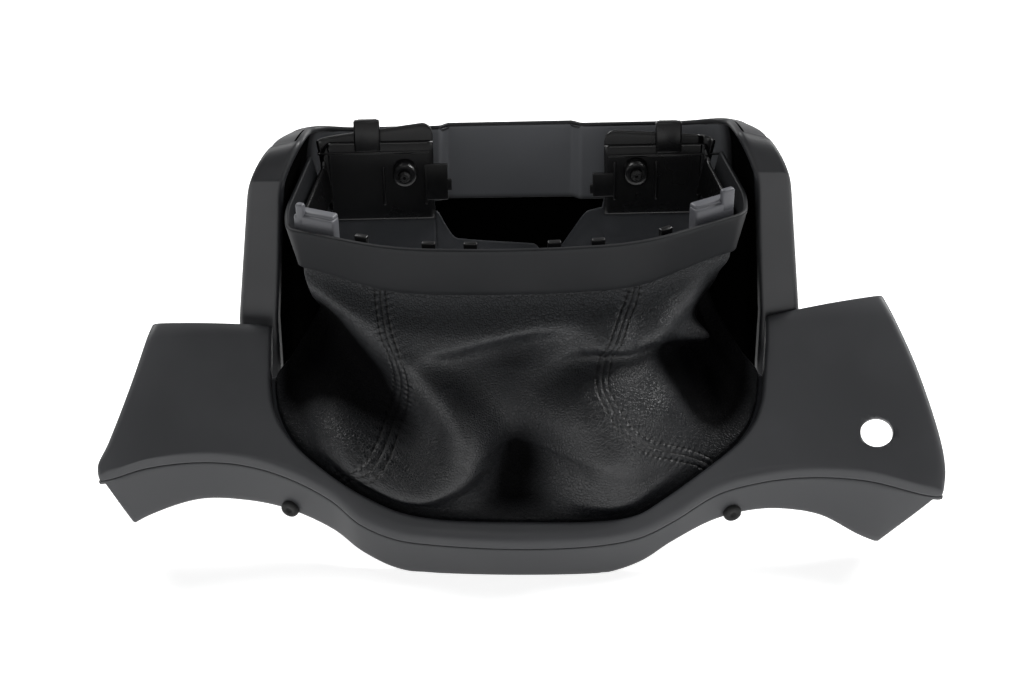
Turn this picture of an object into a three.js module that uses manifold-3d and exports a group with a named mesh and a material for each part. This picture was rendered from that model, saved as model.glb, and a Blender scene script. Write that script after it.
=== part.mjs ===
// Steering column trim: a winged fascia, the hood behind it, and a leather gaiter under a clip-on ring.
// Millimetres, +Z up, as it stands on a table: X across the car, -Y towards the driver.
import * as THREE from "three";
import { mergeVertices } from "three/addons/utils/BufferGeometryUtils.js";
import Module from "manifold-3d";

const wasm = await Module();
wasm.setup();

// Driving dimensions shared by several pieces
const clearance = 0.3;
const degrees = Math.PI / 180;

// Fascia
const fasciaWall = 2.5;
const faceLean = 48 * degrees; // from upright, leaning back
const faceFoot = 18; // height of the face plane at y = 0
const sweepStart = 80; // the wings curve forward outside this x
const sweepEnd = 163;
const sweepDepth = 20;
const faceRoll = 4.5; // radius-like length of the rolled lower edge
const rollDrop = 4; // from the face's corner line down to the groove
const grooveDepth = 0.8;
const grooveHeight = 0.7;
const skirtLean = 12 * degrees;
const sideEdgeDepth = 5; // how far the wings' side edges turn back
const lipDepth = 6; // the flange round the inner U edge
const lipRound = 1.8;
const lipFade = 14; // the lip runs out over this length at the pillars
const topRound = 5; // soft rounding of the wings' top edges
const topRoundDrop = 1.6;
const leftCut = { x: 160.2, z: 37, slope: 3.08 }; // slanted ends of the skirt
const rightCut = { x: 159.2, z: 32, slope: 1.63 };
const wingHole = { x: 140.7, v: 50.2, diameter: 12.4 };

// The face's two edges: [outer x, outer v, inner x, inner v, height of the skirt's hem],
// where v is the distance up the leaning face. They run from the left wing's top to the right's.
const faceStations = [
  [-148.4, 98.7, -100.6, 92.0, 20],
  [-154.5, 72.0, -100.2, 76.0, 18],
  [-160.5, 50.0, -99.8, 66.5, 16],
  [-163.4, 41.5, -99.0, 60.5, 14],
  [-162.2, 38.0, -98.4, 57.5, 13],
  [-158.2, 37.6, -97.6, 55.0, 13],
  [-147.0, 39.2, -96.0, 50.8, 17],
  [-128.0, 38.7, -93.0, 45.3, 21.3],
  [-110.0, 35.6, -88.3, 39.2, 20.0],
  [-93.3, 29.8, -82.0, 33.3, 17.6],
  [-74.1, 19.6, -69.0, 23.4, 12.3],
  [-62.0, 9.6, -57.5, 16.8, 6.7],
  [-48.0, 3.6, -46.0, 11.8, 1.6],
  [-32.0, 1.3, -31.0, 9.0, 0],
  [0, -0.3, 0, 8.0, 0],
  [31.0, 1.1, 31.0, 8.3, 0],
  [47.5, 4.5, 46.0, 10.8, 4.4],
  [60.8, 11.2, 57.5, 17.8, 11.3],
  [77.9, 21.8, 72.0, 28.4, 16.2],
  [95.0, 27.2, 83.0, 37.0, 18.7],
  [108.0, 29.9, 88.0, 41.8, 18.3],
  [121.0, 31.6, 91.4, 46.2, 15.8],
  [137.9, 32.4, 94.4, 51.5, 7.3],
  [158.2, 30.9, 96.0, 56.0, 4],
  [163.0, 32.0, 96.9, 59.0, 4],
  [164.6, 36.0, 97.6, 62.5, 4],
  [165.0, 48.0, 98.4, 69.0, 6],
  [158.5, 81.0, 99.8, 82.0, 8],
  [148.3, 111.4, 100.8, 96.2, 10],
];
const leftTip = 4; // the station at each wing's lower corner
const rightTip = 24;

// Hood
const hoodWall = 2.5;
const pillarY = 73.3; // front of the pillars' flanges
const pillarFoot = 48; // the flanges end here, behind the wings
const pillarTop = 141; // where the front edge starts to turn over
const shoulderTop = 154;
const pillarInner = 98.8; // half width between the pillars at the wings' tops
const pillarLean = 0.085; // inwards for each millimetre of height
const leanStart = 80;
const shoulderStart = 134; // the walls lean in further above this height
const shoulderIn = 4.5;
const flangeFoot = 17.4;
const flangeShoulder = 14;
const flangeRear = 2.4; // at the rear wall the flange runs out into the wall's own thickness
const flangeLip = 3; // its outer edge turns back this far
const seat = 1; // how deep the hood's wall stands in its flange
const hoodRise = 1.2 * degrees; // the hood's top rises towards the right
const rearY = 130.5;
const rearHalf = 95;
const rearCorner = 13;
const recessHalf = 26;
const recessCentre = -4;
const recessDepth = 3.5;
const recessRamp = 5;
const rearTop = 144;
const rearSill = 110; // lower edge of the rear wall's front face
const rearStep = 6; // below the sill the wall stands back
const stepHeight = 1.5;
const rearHem = 60; // the stepped-back wall's lower edge
const leanFrom = 30; // the walls lean fully outside leanFrom + leanFade from the middle
const leanFade = 40;
const legWidth = 16; // the rear legs reach the table
const legFlare = 5; // their inner edges slope out to the wall's sill
const sideSill = 44; // the side walls' lower edge at the pillars

// Ring frame, in its own level frame: y runs back from the front band
const ringPlace = new THREE.Vector3(0, 26, 128);
const ringTilt = 6.8 * degrees;
const ringYaw = 1.2 * degrees;
const ringRoll = 0.8 * degrees;
const ringSide = pillarInner - 7.3; // its sides stand inside the hood's pillars
const ringNarrow = 2; // and draw in this far towards the front corners
const ringRear = rearHalf - 10; // half width at the rear corners, inside the hood's walls
const ringDepth = rearY - ringPlace.y - 10.5; // it ends in front of the hood's rear wall
const ringCorners = [
  // [x, y, fillet]
  [-34, ringDepth, 0],
  [-ringRear, ringDepth, 9],
  [-ringSide, 38, 8],
  [ringNarrow - ringSide, 22, 5],
  [-48, 3.5, 16],
  [0, 0, 26],
  [46, 3.5, 16],
  [ringSide - ringNarrow, 27, 5],
  [ringSide, 42, 8],
  [ringRear, ringDepth, 9],
  [37.5, ringDepth, 0],
];
const bandHeight = 18;
const bandSag = 4; // the band is this much deeper in front,
const sagReach = 90; // beginning this far round the ring from the middle
const sagBlend = 45;
const bandWall = 1.8;
const bandTaper = 12 * degrees;
const clampWall = 1.8;
const leather = 1.2;
const hemHeight = 6; // leather held between the band and the clamp ring
const freeHem = 0.3; // share of that height left above the free edge
const plateDrop = 28; // the rear plates' height
const plateRound = 5; // each plate's upper inner corner
const sideDrop = 5; // the clamp ring's top edge at the sides, below the rim
const frontDrop = 9;
const hookSize = new THREE.Vector3(10.8, 3, 13);
const ledgeSize = new THREE.Vector3(8, 5, 2.2);
// The two rear plates differ: how high their top edges stand above the rim, and where hook and boss are.
// Steps stand beyond a plate's inner end: [how far, top, bottom]
const plates = {
  left: {
    outerRise: 5,
    innerRise: 11.2,
    hookX: -61.2,
    hookRise: 13,
    bossX: -46,
    bossDrop: 8.4,
    steps: [[5.8, -5.4, -20.4], [7.4, -11.7, -16.6]],
  },
  right: {
    outerRise: 2.6,
    innerRise: 6.3,
    hookX: 64.3,
    hookRise: 10,
    bossX: 50.6,
    bossDrop: 9.9,
    steps: [[5, -10.8, -20.6], [6.2, -15.4, -19.4]],
  },
};
const stepDepth = 3;
const stepInset = 0.3; // the second step is thinner than the first by twice this
const stepRoot = 4; // how far a step reaches into its plate
const boss = { radius: 5, depth: 5 };
const tabSize = new THREE.Vector3(5.5, 2.4, 12);
const tabRise = 0.3;
const tabsAlong = [-60.2, -31.5, -15.3, 17, 34, 63.9]; // snap tabs, from the front's middle round the ring
const frontReach = 111.1; // the clamp ring stands low in front as far as this round the ring
const frontBlend = 12.6;
const guideInside = 4.4; // clear of the band, which leans in below the blocks
const guideGap = 1; // above the clamp ring's sloping rim
const guideLeft = { along: -79.2, length: 17, depth: 5.5, height: 13.5, lug: 3.5, lugRise: 4 };
const guideCap = { back: 1.65, drop: 1.5, height: 3.2, root: 1 }; // a block's top step, set back
const lugDepth = 2.6;
const lugRoot = 4;
const guideRight = { along: 85.9, length: 17.5, depth: 5.5, height: 13, lug: 5.5, lugRise: 4.5 };

// Gaiter: a sleeve held in the ring, hanging free between the two rear plates (shares 1 to sleeveEnd).
// Its foot follows the fascia's U and hangs loose inside the hood:
// [share of the ring's length, share of the face stations] or [share of the ring's length, point]
const sleeveEnd = 1.158;
const freeSag = 12; // how far its free top edge hangs down between the plates
const gaiterStations = [
  [0, [-34, 112, 66]],
  [0.06, [-58, 110, 62]],
  [0.115, [-80, 103, 58]],
  [0.18, [-88, 84, 56]],
  [0.24, 1.6],
  [0.3, 4.5],
  [0.36, 8.0],
  [0.42, 10.0],
  [0.46, 12.4],
  [0.505, 14.0],
  [0.55, 15.6],
  [0.6, 17.2],
  [0.66, 19.2],
  [0.71, 22.5],
  [0.77, 26.2],
  [0.83, [88, 84, 56]],
  [0.885, [80, 103, 58]],
  [0.94, [58, 110, 62]],
  [1, [37, 112, 66]],
  [1.08, [2, 113, 66]],
  [sleeveEnd, [-33.6, 112, 66]],
];
// Folds along lines on the leather: [share of the ring, share of the way down, how far out]; each falls away
// over its two widths, one to each side of the line (below it first, where it runs to the right)
const gaiterFolds = [
  { // long edge under the ring
    widths: [6, 16],
    line: [
      [0.4, 0.34, 1], [0.44, 0.22, 4.5], [0.49, 0.145, 5.5], [0.53, 0.1, 5], [0.575, 0.085, 3],
      [0.61, 0.12, 0],
    ],
  },
  { // hollow under it
    widths: [14, 9],
    line: [
      [0.45, 0.36, -2], [0.485, 0.29, -6], [0.52, 0.23, -6], [0.555, 0.22, -1],
    ],
  },
  { // upper left pillow
    widths: [12, 12],
    line: [
      [0.29, 0.1, 4], [0.34, 0.13, 6], [0.4, 0.22, 4],
    ],
  },
  { // left crest, curling back at its foot
    widths: [11, 5],
    line: [
      [0.405, 0.26, 1], [0.44, 0.345, 8], [0.468, 0.45, 12], [0.483, 0.58, 13], [0.483, 0.72, 12],
      [0.471, 0.83, 9], [0.45, 0.885, 6], [0.42, 0.9, 4],
    ],
  },
  { // left hollow
    widths: [18, 16],
    line: [
      [0.34, 0.42, -12], [0.385, 0.5, -17], [0.43, 0.62, -12],
    ],
  },
  { // lower left lobe
    widths: [12, 10],
    line: [
      [0.36, 0.8, 3], [0.4, 0.8, 6], [0.44, 0.82, 6],
    ],
  },
  { // middle valley
    widths: [6, 9],
    line: [
      [0.502, 0.32, -3], [0.503, 0.5, -9], [0.504, 0.7, -15], [0.503, 0.95, -9],
    ],
  },
  { // big right pillow
    widths: [22, 22],
    line: [
      [0.552, 0.52, 10], [0.558, 0.68, 11.5], [0.55, 0.8, 7],
    ],
  },
  { // crease over it
    widths: [5, 5],
    line: [
      [0.515, 0.42, -1], [0.53, 0.34, -5], [0.55, 0.295, -7], [0.58, 0.29, -7], [0.61, 0.33, -6],
      [0.63, 0.36, -2],
    ],
  },
  { // upper pillow
    widths: [10, 10],
    line: [
      [0.55, 0.22, 1], [0.58, 0.2, 6], [0.6, 0.2, 5], [0.61, 0.2, 1],
    ],
  },
  { // upper right pillow
    widths: [11, 9],
    line: [
      [0.615, 0.23, 2], [0.64, 0.2, 7], [0.67, 0.17, 5],
    ],
  },
  { // right hollow
    widths: [10, 10],
    line: [
      [0.635, 0.42, -9], [0.66, 0.55, -14], [0.67, 0.75, -12],
    ],
  },
  { // right crease
    widths: [7, 5],
    line: [
      [0.606, 0.5, 2], [0.618, 0.58, 4], [0.63, 0.66, 3], [0.64, 0.78, 1],
    ],
  },
];
// Places where the leather is drawn in: [share of the ring, share of the way down, width, inwards, backwards]
const gaiterPulls = [
  [0.24, 0.5, 36, 10, 16],
  [0.3, 0.62, 26, 6, 20],
  [0.7, 0.6, 26, 8, 22],
  [0.76, 0.5, 36, 12, 16],
  [0.668, 0.42, 8, -11, -6],
];
const leatherScale = new THREE.Vector2(440, 95); // the leather's length round the ring and its depth
const frontBulge = 7;
const bulgeFrom = 0.05; // share of the ring where the front bulge begins
const bulgeOver = 0.25;
const holdTop = 0.16; // the folds run out over these shares of the leather's depth
const holdFoot = 0.1;
const foldSteps = 4; // straight pieces in each span of a fold's line

// Retainer strip, screws, clips and bumpers
const retainerWidth = 8;
const retainerOverlap = 1.5; // how far the strip reaches into the opening
const retainerWall = 2;
const retainerSpan = { from: 2.6, to: 25.6 }; // face stations
const hemWidth = 1.9; // leather under the lip
const hemGap = 0.5;
const retainerScrews = [3.2, 7.6, 11.9, 16.1, 20.4, 25.0]; // face stations
const screw = { shank: 2.2, head: 5, headHeight: 2, boss: 5.6 };
const screwLength = 6;
const boreLength = 20;
const hoodScrews = [
  [-106.5, 72],
  [-105.5, 62],
  [106.5, 72],
  [105.5, 62],
];
const plateScrewLength = 5.8;
const clip = { width: 10, metal: 0.6, height: 11, tower: 3 };
const clipPlaces = [
  [-136, 84],
  [-146, 55],
  [132, 92],
  [122, 56],
];
const bumperStations = { left: 9.1, right: 18.4 };
const bumper = { width: 6.5, height: 7.5, wall: 1.7, drop: 1.9 };

const vector = (x, y, z) => new THREE.Vector3(x, y, z);
const mix = THREE.MathUtils.lerp;
const limit = THREE.MathUtils.clamp;
const ease = (t) => THREE.MathUtils.smoothstep(t, 0, 1);
const steps = (count, from = 0, to = 1) =>
  Array.from({ length: count + 1 }, (_, i) => mix(from, to, i / count));

// A closed wall: its outer surface is surface(u, v) on a grid, and its thickness goes inwards
function shell(us, vs, surface, thickness) {
  const grid = us.map((u) => vs.map((v) => surface(u, v)));
  const rows = vs.length;
  const last = us.length - 1;
  const end = rows - 1;
  const positions = [];
  const walls = [];
  for (let i = 0; i <= last; i++) {
    for (let j = 0; j <= end; j++) {
      const along = grid[Math.min(i + 1, last)][j].clone().sub(grid[Math.max(i - 1, 0)][j]);
      const across = grid[i][Math.min(j + 1, end)].clone().sub(grid[i][Math.max(j - 1, 0)]);
      const normal = along.cross(across).normalize();
      positions.push(...grid[i][j].toArray());
      walls.push(...grid[i][j].clone().addScaledVector(normal, -thickness).toArray());
    }
  }
  const inner = positions.length / 3;
  const id = (i, j) => i * rows + j;
  const index = [];
  const quad = (a, b, c, d) => index.push(a, b, c, a, c, d);
  for (let i = 0; i < last; i++) {
    for (let j = 0; j < end; j++) {
      quad(id(i, j), id(i + 1, j), id(i + 1, j + 1), id(i, j + 1));
      quad(inner + id(i, j), inner + id(i, j + 1), inner + id(i + 1, j + 1), inner + id(i + 1, j));
    }
    quad(id(i + 1, 0), id(i, 0), inner + id(i, 0), inner + id(i + 1, 0));
    quad(id(i, end), id(i + 1, end), inner + id(i + 1, end), inner + id(i, end));
  }
  for (let j = 0; j < end; j++) {
    quad(id(0, j), id(0, j + 1), inner + id(0, j + 1), inner + id(0, j));
    quad(id(last, j + 1), id(last, j), inner + id(last, j), inner + id(last, j + 1));
  }
  const geometry = new THREE.BufferGeometry();
  geometry.setAttribute("position", new THREE.Float32BufferAttribute([...positions, ...walls], 3));
  geometry.setIndex(index);
  return geometry;
}

// A closed geometry as a solid that can be joined and cut
function solid(geometry) {
  const bare = new THREE.BufferGeometry();
  bare.setAttribute("position", geometry.getAttribute("position").clone());
  if (geometry.index) bare.setIndex(geometry.index.clone());
  const merged = mergeVertices(bare, 1e-4);
  const vertProperties = merged.getAttribute("position").array;
  const triVerts = new Uint32Array(merged.index.array);
  return new wasm.Manifold(new wasm.Mesh({ numProp: 3, vertProperties, triVerts }));
}

// The main body of a join, without the crumbs left where two walls graze
const largest = (body) => body.decompose().sort((a, b) => b.volume() - a.volume())[0];

function geometryOf(body) {
  const mesh = body.getMesh();
  const geometry = new THREE.BufferGeometry();
  geometry.setAttribute("position", new THREE.BufferAttribute(new Float32Array(mesh.vertProperties), 3));
  geometry.setIndex([...mesh.triVerts]);
  return geometry;
}

// Places a geometry at a point with its own Z along a direction
function aimed(geometry, place, direction) {
  const turn = new THREE.Quaternion().setFromUnitVectors(vector(0, 0, 1), direction.clone().normalize());
  return geometry.applyQuaternion(turn).translate(place.x, place.y, place.z);
}

// A round bar from a point along a direction
function rod(radius, length, place, direction, sides = 14) {
  const bar = new THREE.CylinderGeometry(radius, radius, length, sides);
  return aimed(bar.rotateX(Math.PI / 2).translate(0, 0, length / 2), place, direction);
}

const faceNormal = vector(0, -Math.cos(faceLean), Math.sin(faceLean));
const intoFace = faceNormal.clone().negate();

// A point of the leaning, swept face, n in front of it
function facePoint(x, v, n = 0) {
  const outside = Math.max(0, Math.abs(x) - sweepStart);
  const sweep = sweepDepth * (outside / (sweepEnd - sweepStart)) ** 2;
  const y = v * Math.sin(faceLean) - sweep;
  return vector(x, y, faceFoot + v * Math.cos(faceLean)).addScaledVector(faceNormal, n);
}

const outerEdge = new THREE.CatmullRomCurve3(
  faceStations.map(([x, v, , , hem]) => vector(x, v, hem)),
  false,
  "centripetal",
);
const innerEdge = new THREE.CatmullRomCurve3(
  faceStations.map(([, , x, v]) => vector(x, v, 0)),
  false,
  "centripetal",
);
const stationShare = (station) => station / (faceStations.length - 1);

// Everything about the face at one station: both edges, the way across, and the skirt's hem
function faceSection(station) {
  const outer = outerEdge.getPoint(stationShare(station));
  const inner = innerEdge.getPoint(stationShare(station));
  const across = vector(outer.x - inner.x, outer.y - inner.y, 0);
  const width = across.length();
  across.normalize();
  const lower = Math.min(limit(station - leftTip + 1, 0, 1), limit(rightTip + 1 - station, 0, 1));
  const corner = facePoint(outer.x, outer.y);
  const cut = outer.x < 0 ? leftCut : rightCut;
  const cutHeight = cut.z - cut.slope * (cut.x - Math.abs(outer.x));
  const groove = corner.z - rollDrop;
  const hem = Math.min(Math.max(outer.z, cutHeight, 0), groove - grooveHeight - 0.6);
  return { outer, inner, across, width, lower, corner, hem };
}

// The face's cross-section: v 0-1 the lip, 1-2 its rounding, 2-3 the face,
// 3-4 the rolled edge, 4-5 the groove, 5-6 the skirt
function fasciaSurface(station, v) {
  const { outer, inner, across, width, lower, corner, hem } = faceSection(station);
  const topGap = Math.min(
    (faceStations[0][3] - inner.y) * (inner.x < 0 ? 1 : 9),
    (faceStations.at(-1)[3] - inner.y) * (inner.x > 0 ? 1 : 9),
  );
  const lip = mix(lipRound + 0.4, lipDepth, ease(limit(topGap / lipFade, 0, 1)));
  const roll = Math.min(faceRoll, width - lipRound - 0.8);
  const onFace = (distance, n = 0) => {
    const at = inner.clone().addScaledVector(across, distance);
    return facePoint(at.x, at.y, n);
  };
  const back = intoFace.clone();
  const down = vector(0, Math.sin(skirtLean), -Math.cos(skirtLean));
  const edgeWay = back.lerp(down, lower).normalize();
  const inwards = vector(0, Math.cos(skirtLean), 0).multiplyScalar(lower * grooveDepth);
  const skirtLength = mix(sideEdgeDepth, (corner.z - hem) / Math.cos(skirtLean), lower);
  const rollEnd = mix(sideEdgeDepth - 1.5, rollDrop, lower);
  let point;
  if (v <= 1) point = onFace(0, mix(-lip, -lipRound, v));
  else if (v <= 2) {
    const t = v - 1;
    point = onFace(lipRound * t * t, -lipRound * (1 - t) ** 2);
  } else if (v <= 3) point = onFace(mix(lipRound, width - roll, v - 2));
  else if (v <= 4) {
    const t = v - 3;
    const start = onFace(width - roll).multiplyScalar((1 - t) ** 2);
    const middle = corner.clone().multiplyScalar(2 * t * (1 - t));
    const finish = corner.clone().addScaledVector(edgeWay, rollEnd).multiplyScalar(t * t);
    point = start.add(middle).add(finish);
  } else if (v <= 5) {
    point = corner
      .clone()
      .addScaledVector(edgeWay, rollEnd + grooveHeight * (v - 4))
      .addScaledVector(inwards, v - 4);
  } else {
    point = corner
      .clone()
      .addScaledVector(edgeWay, mix(rollEnd + grooveHeight, skirtLength, v - 5))
      .add(inwards);
    if (v === 6 && lower === 1 && hem < 0.05) point.z = 0;
  }
  return point.addScaledVector(faceNormal, -topDrop(station, outer, inner));
}

// The wings' top edges bend back a little over the last few millimetres
function topDrop(station, outer, inner) {
  const fromLeft = Math.hypot(inner.x - faceStations[0][2], inner.y - faceStations[0][3]);
  const fromRight = Math.hypot(inner.x - faceStations.at(-1)[2], inner.y - faceStations.at(-1)[3]);
  const gap = Math.min(fromLeft, fromRight);
  return gap < topRound ? topRoundDrop * (1 - gap / topRound) ** 2 : 0;
}

// A boss behind the face that reaches back level to an upright plane
function levelBoss(x, z, reach) {
  const radius = screw.boss / 2;
  const inFace = (px, pz) => {
    const v = (pz - faceFoot) / Math.cos(faceLean);
    return facePoint(px, v).y + fasciaWall * 0.6;
  };
  const ring = steps(13, 0, 2 * Math.PI * (13 / 14));
  const front = ring.map((a) => vector(x + radius * Math.cos(a), 0, z + radius * Math.sin(a)));
  const positions = [];
  front.forEach((p) => positions.push(p.x, inFace(p.x, p.z), p.z));
  front.forEach((p) => positions.push(p.x, reach, p.z));
  positions.push(x, inFace(x, z), z, x, reach, z);
  const index = [];
  const sides = front.length;
  for (let i = 0; i < sides; i++) {
    const next = (i + 1) % sides;
    index.push(i, next, sides + next, i, sides + next, sides + i);
    index.push(2 * sides, next, i, 2 * sides + 1, sides + i, sides + next);
  }
  const geometry = new THREE.BufferGeometry();
  geometry.setAttribute("position", new THREE.Float32BufferAttribute(positions, 3));
  geometry.setIndex(index);
  const body = solid(geometry);
  return body.volume() > 0 ? body : solid(geometry.setIndex([...index].reverse()));
}

// Where the retainer's screws stand: on the face's back, just outside the lip
const retainerLevel = -(lipDepth + hemGap + leather + clearance);
const retainerScrewPlace = (station, n) => {
  const { inner, across } = faceSection(station);
  const out = fasciaWall + 0.2 + screw.boss / 2;
  return facePoint(inner.x + across.x * out, inner.y + across.y * out, n);
};
const hoodBossReach = pillarY - clearance;

function makeFascia() {
  const last = faceStations.length - 1;
  const stations = [0, 0.08, 0.2, ...steps(last * 2 - 2, 0.5, last - 0.5), last - 0.2, last - 0.08, last];
  const rows = [6, 5, 4, 3.6, 3.2, 3, 2.5, 2, 1.5, 1, 0];
  let body = solid(shell(stations, rows, fasciaSurface, fasciaWall));
  for (const station of retainerScrews) {
    const start = retainerScrewPlace(station, -fasciaWall * 0.6);
    const length = -retainerLevel - fasciaWall * 0.6 - clearance;
    body = body.add(solid(rod(screw.boss / 2, length, start, intoFace)));
    const bore = retainerScrewPlace(station, -fasciaWall - 0.6);
    body = body.subtract(solid(rod(screw.shank / 2 + clearance, boreLength, bore, intoFace, 12)));
  }
  for (const [x, z] of hoodScrews) {
    body = body.add(levelBoss(x, z, hoodBossReach));
    const start = vector(x, hoodBossReach - screwLength + hoodWall, z);
    body = body.subtract(solid(rod(screw.shank / 2 + clearance, boreLength, start, vector(0, 1, 0), 12)));
  }
  for (const [x, v] of clipPlaces) {
    const tower = new THREE.BoxGeometry(clip.width - 2, clip.tower, clip.height);
    tower.translate(0, 0, clip.height / 2);
    body = body.add(solid(aimed(tower, facePoint(x, v, -fasciaWall * 0.6), intoFace)));
  }
  const throughFace = facePoint(wingHole.x, wingHole.v, boreLength / 2);
  body = body.subtract(solid(rod(wingHole.diameter / 2, boreLength, throughFace, intoFace, 28)));
  return geometryOf(body);
}

// The hood's plan: from the left pillar back, round the rear wall and forward to the right pillar
const hoodPlan = (() => {
  const plan = new THREE.Path();
  plan.moveTo(-pillarInner, pillarY);
  plan.lineTo(-rearHalf, rearY - rearCorner);
  plan.quadraticCurveTo(-rearHalf, rearY, -rearHalf + rearCorner, rearY);
  plan.lineTo(rearHalf - rearCorner, rearY);
  plan.quadraticCurveTo(rearHalf, rearY, rearHalf, rearY - rearCorner);
  plan.lineTo(pillarInner, pillarY);
  return plan;
})();

// How far the hood's walls lean in at a height, and how much its right side rises
const leanIn = (z) => {
  const over = Math.max(0, z - shoulderStart) / (shoulderTop - shoulderStart);
  return pillarLean * Math.max(0, z - leanStart) + shoulderIn * over * over;
};
const risen = (point) => {
  const share = limit(point.z / rearTop, 0, 1.2);
  return point.setZ(point.z + point.x * Math.tan(hoodRise) * share);
};

// The hood's top edge: up the pillars, over the shoulder and down to the rear wall
function hoodTop(share) {
  const fromFront = Math.min(share, 1 - share) * 2;
  const rise = 1 - (1 - limit(fromFront / 0.09, 0, 1)) ** 2;
  return mix(mix(pillarTop, shoulderTop, rise), rearTop, ease(limit((fromFront - 0.08) / 0.42, 0, 1)));
}

// The hood's inner face at a share of its plan and a height
function hoodFace(share, z) {
  const at = hoodPlan.getPointAt(share);
  const side = Math.sign(at.x);
  const lean = leanIn(z) * limit((Math.abs(at.x) - leanFrom) / leanFade, 0, 1);
  const fromRecess = Math.abs(at.x - recessCentre) - recessHalf;
  const recess = recessDepth * ease(limit(1 - fromRecess / recessRamp, 0, 1));
  const inRear = limit((rearHalf - legWidth - Math.abs(at.x)) / legFlare, 0, 1);
  const below = ease(limit((rearSill - z) / stepHeight, 0, 1));
  const deep = Math.abs(at.x) < rearHalf - rearCorner ? recess : 0;
  return vector(at.x - side * lean, at.y + mix(deep, Math.max(deep, rearStep), inRear * below), z);
}

// The walls' lower edge: down from the pillars to the rear legs, then up to the rear wall's hem
function hoodSill(share) {
  const at = hoodPlan.getPointAt(share);
  const back = (at.y - pillarY) / (rearY - rearCorner - pillarY);
  const inside = (rearHalf - legWidth - Math.abs(at.x)) / legFlare;
  return mix(sideSill * (1 - ease(limit(back, 0, 1))), rearHem, limit(inside, 0, 1));
}

// The hood's flange at a share of its plan: out from the wall's front and top edges
function flangeWay(share) {
  const fromFront = Math.min(share, 1 - share) * 2;
  const side = share < 0.5 ? -1 : 1;
  const turn = ease(limit((fromFront - 0.25) / 0.35, 0, 1));
  const angle = (turn * Math.PI) / 2;
  return {
    way: vector(side * Math.cos(angle), Math.sin(angle), -0.25 * limit(fromFront / 0.1, 0, 1)),
    width: mix(flangeShoulder, flangeRear, ease(limit((fromFront - 0.12) / 0.45, 0, 1))),
  };
}

// The flange's inner line: up the front of a pillar (0 to 1), then back along the hood's top (1 to 2)
function flangeLine(rise, side) {
  const share = (s) => (side < 0 ? s : 1 - s);
  if (rise <= 1) {
    const z = mix(pillarFoot, hoodTop(0), rise);
    const width = mix(flangeFoot, flangeShoulder, rise);
    return { point: vector(side * (pillarInner - leanIn(z)), pillarY, z), share: share(0), width };
  }
  const s = (rise - 1) * 0.5;
  return { point: hoodFace(share(s), hoodTop(share(s))), share: share(s) };
}

function flangeSurface(rise, v) {
  const side = rise < 2 ? -1 : 1;
  const { point, share, width: pillarWidth } = flangeLine(rise < 2 ? rise : 4 - rise, side);
  const { way, width: topWidth } = flangeWay(share);
  const width = pillarWidth ?? topWidth;
  way.normalize();
  const over = risen(point.clone());
  if (v <= 1) return over.addScaledVector(way, mix(-0.15, width, v));
  const turned = limit((Math.min(rise, 4 - rise) - 0.9) / 0.2, 0, 1);
  const back = vector(0, 1 - turned, -turned).normalize();
  const lip = mix(0.4, flangeLip, limit((width - 2 * hoodWall - 1) / 4, 0, 1));
  return over.addScaledVector(way, width).addScaledVector(back, (v - 1) * lip);
}

function makeHood() {
  const length = hoodPlan.getLength();
  const legEdge = 0.5 - (rearHalf - legWidth) / length;
  const half = [0, 0.012, 0.03, 0.06, 0.1, 0.14, ...steps(3, 0.158, 0.19)];
  half.push(legEdge, legEdge + legFlare / length, ...steps(7, 0.3, 0.48));
  const shares = [...half, 0.5, ...half.map((s) => 1 - s).reverse()];
  // Rows: 0-1 up to the step, 1-2 the step, 2-3 the wall above the sill
  const heights = [0, 0.5, 1, 1.5, 2, 2.35, 2.7, 3];
  const level = (s, h) => {
    if (h <= 1) return mix(hoodSill(s), rearSill - stepHeight, h);
    if (h <= 2) return mix(rearSill - stepHeight, rearSill, h - 1);
    return mix(rearSill, hoodTop(s) - seat, h - 2);
  };
  const wall = (s, h) => {
    const point = hoodFace(s, level(s, h));
    point.y += seat * (1 - limit((point.y - pillarY) / 10, 0, 1));
    return risen(point);
  };
  let body = solid(shell(shares, heights, wall, hoodWall));
  const rises = [0, 0.5, 0.85, 1, 1.024, 1.06, 1.12, 1.22, 1.36, 1.46, ...steps(5, 1.53, 1.68), 1.76, 1.88];
  const both = [...rises, 2, ...rises.map((r) => 4 - r).reverse()];
  body = body.add(solid(shell(both, [0, 0.5, 1, 1.5, 2], flangeSurface, hoodWall)));
  for (const [x, z] of hoodScrews) {
    const start = vector(x, pillarY - 5, z);
    body = body.subtract(solid(rod(screw.shank / 2 + clearance, boreLength, start, vector(0, 1, 0), 12)));
  }
  return geometryOf(largest(body));
}

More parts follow.
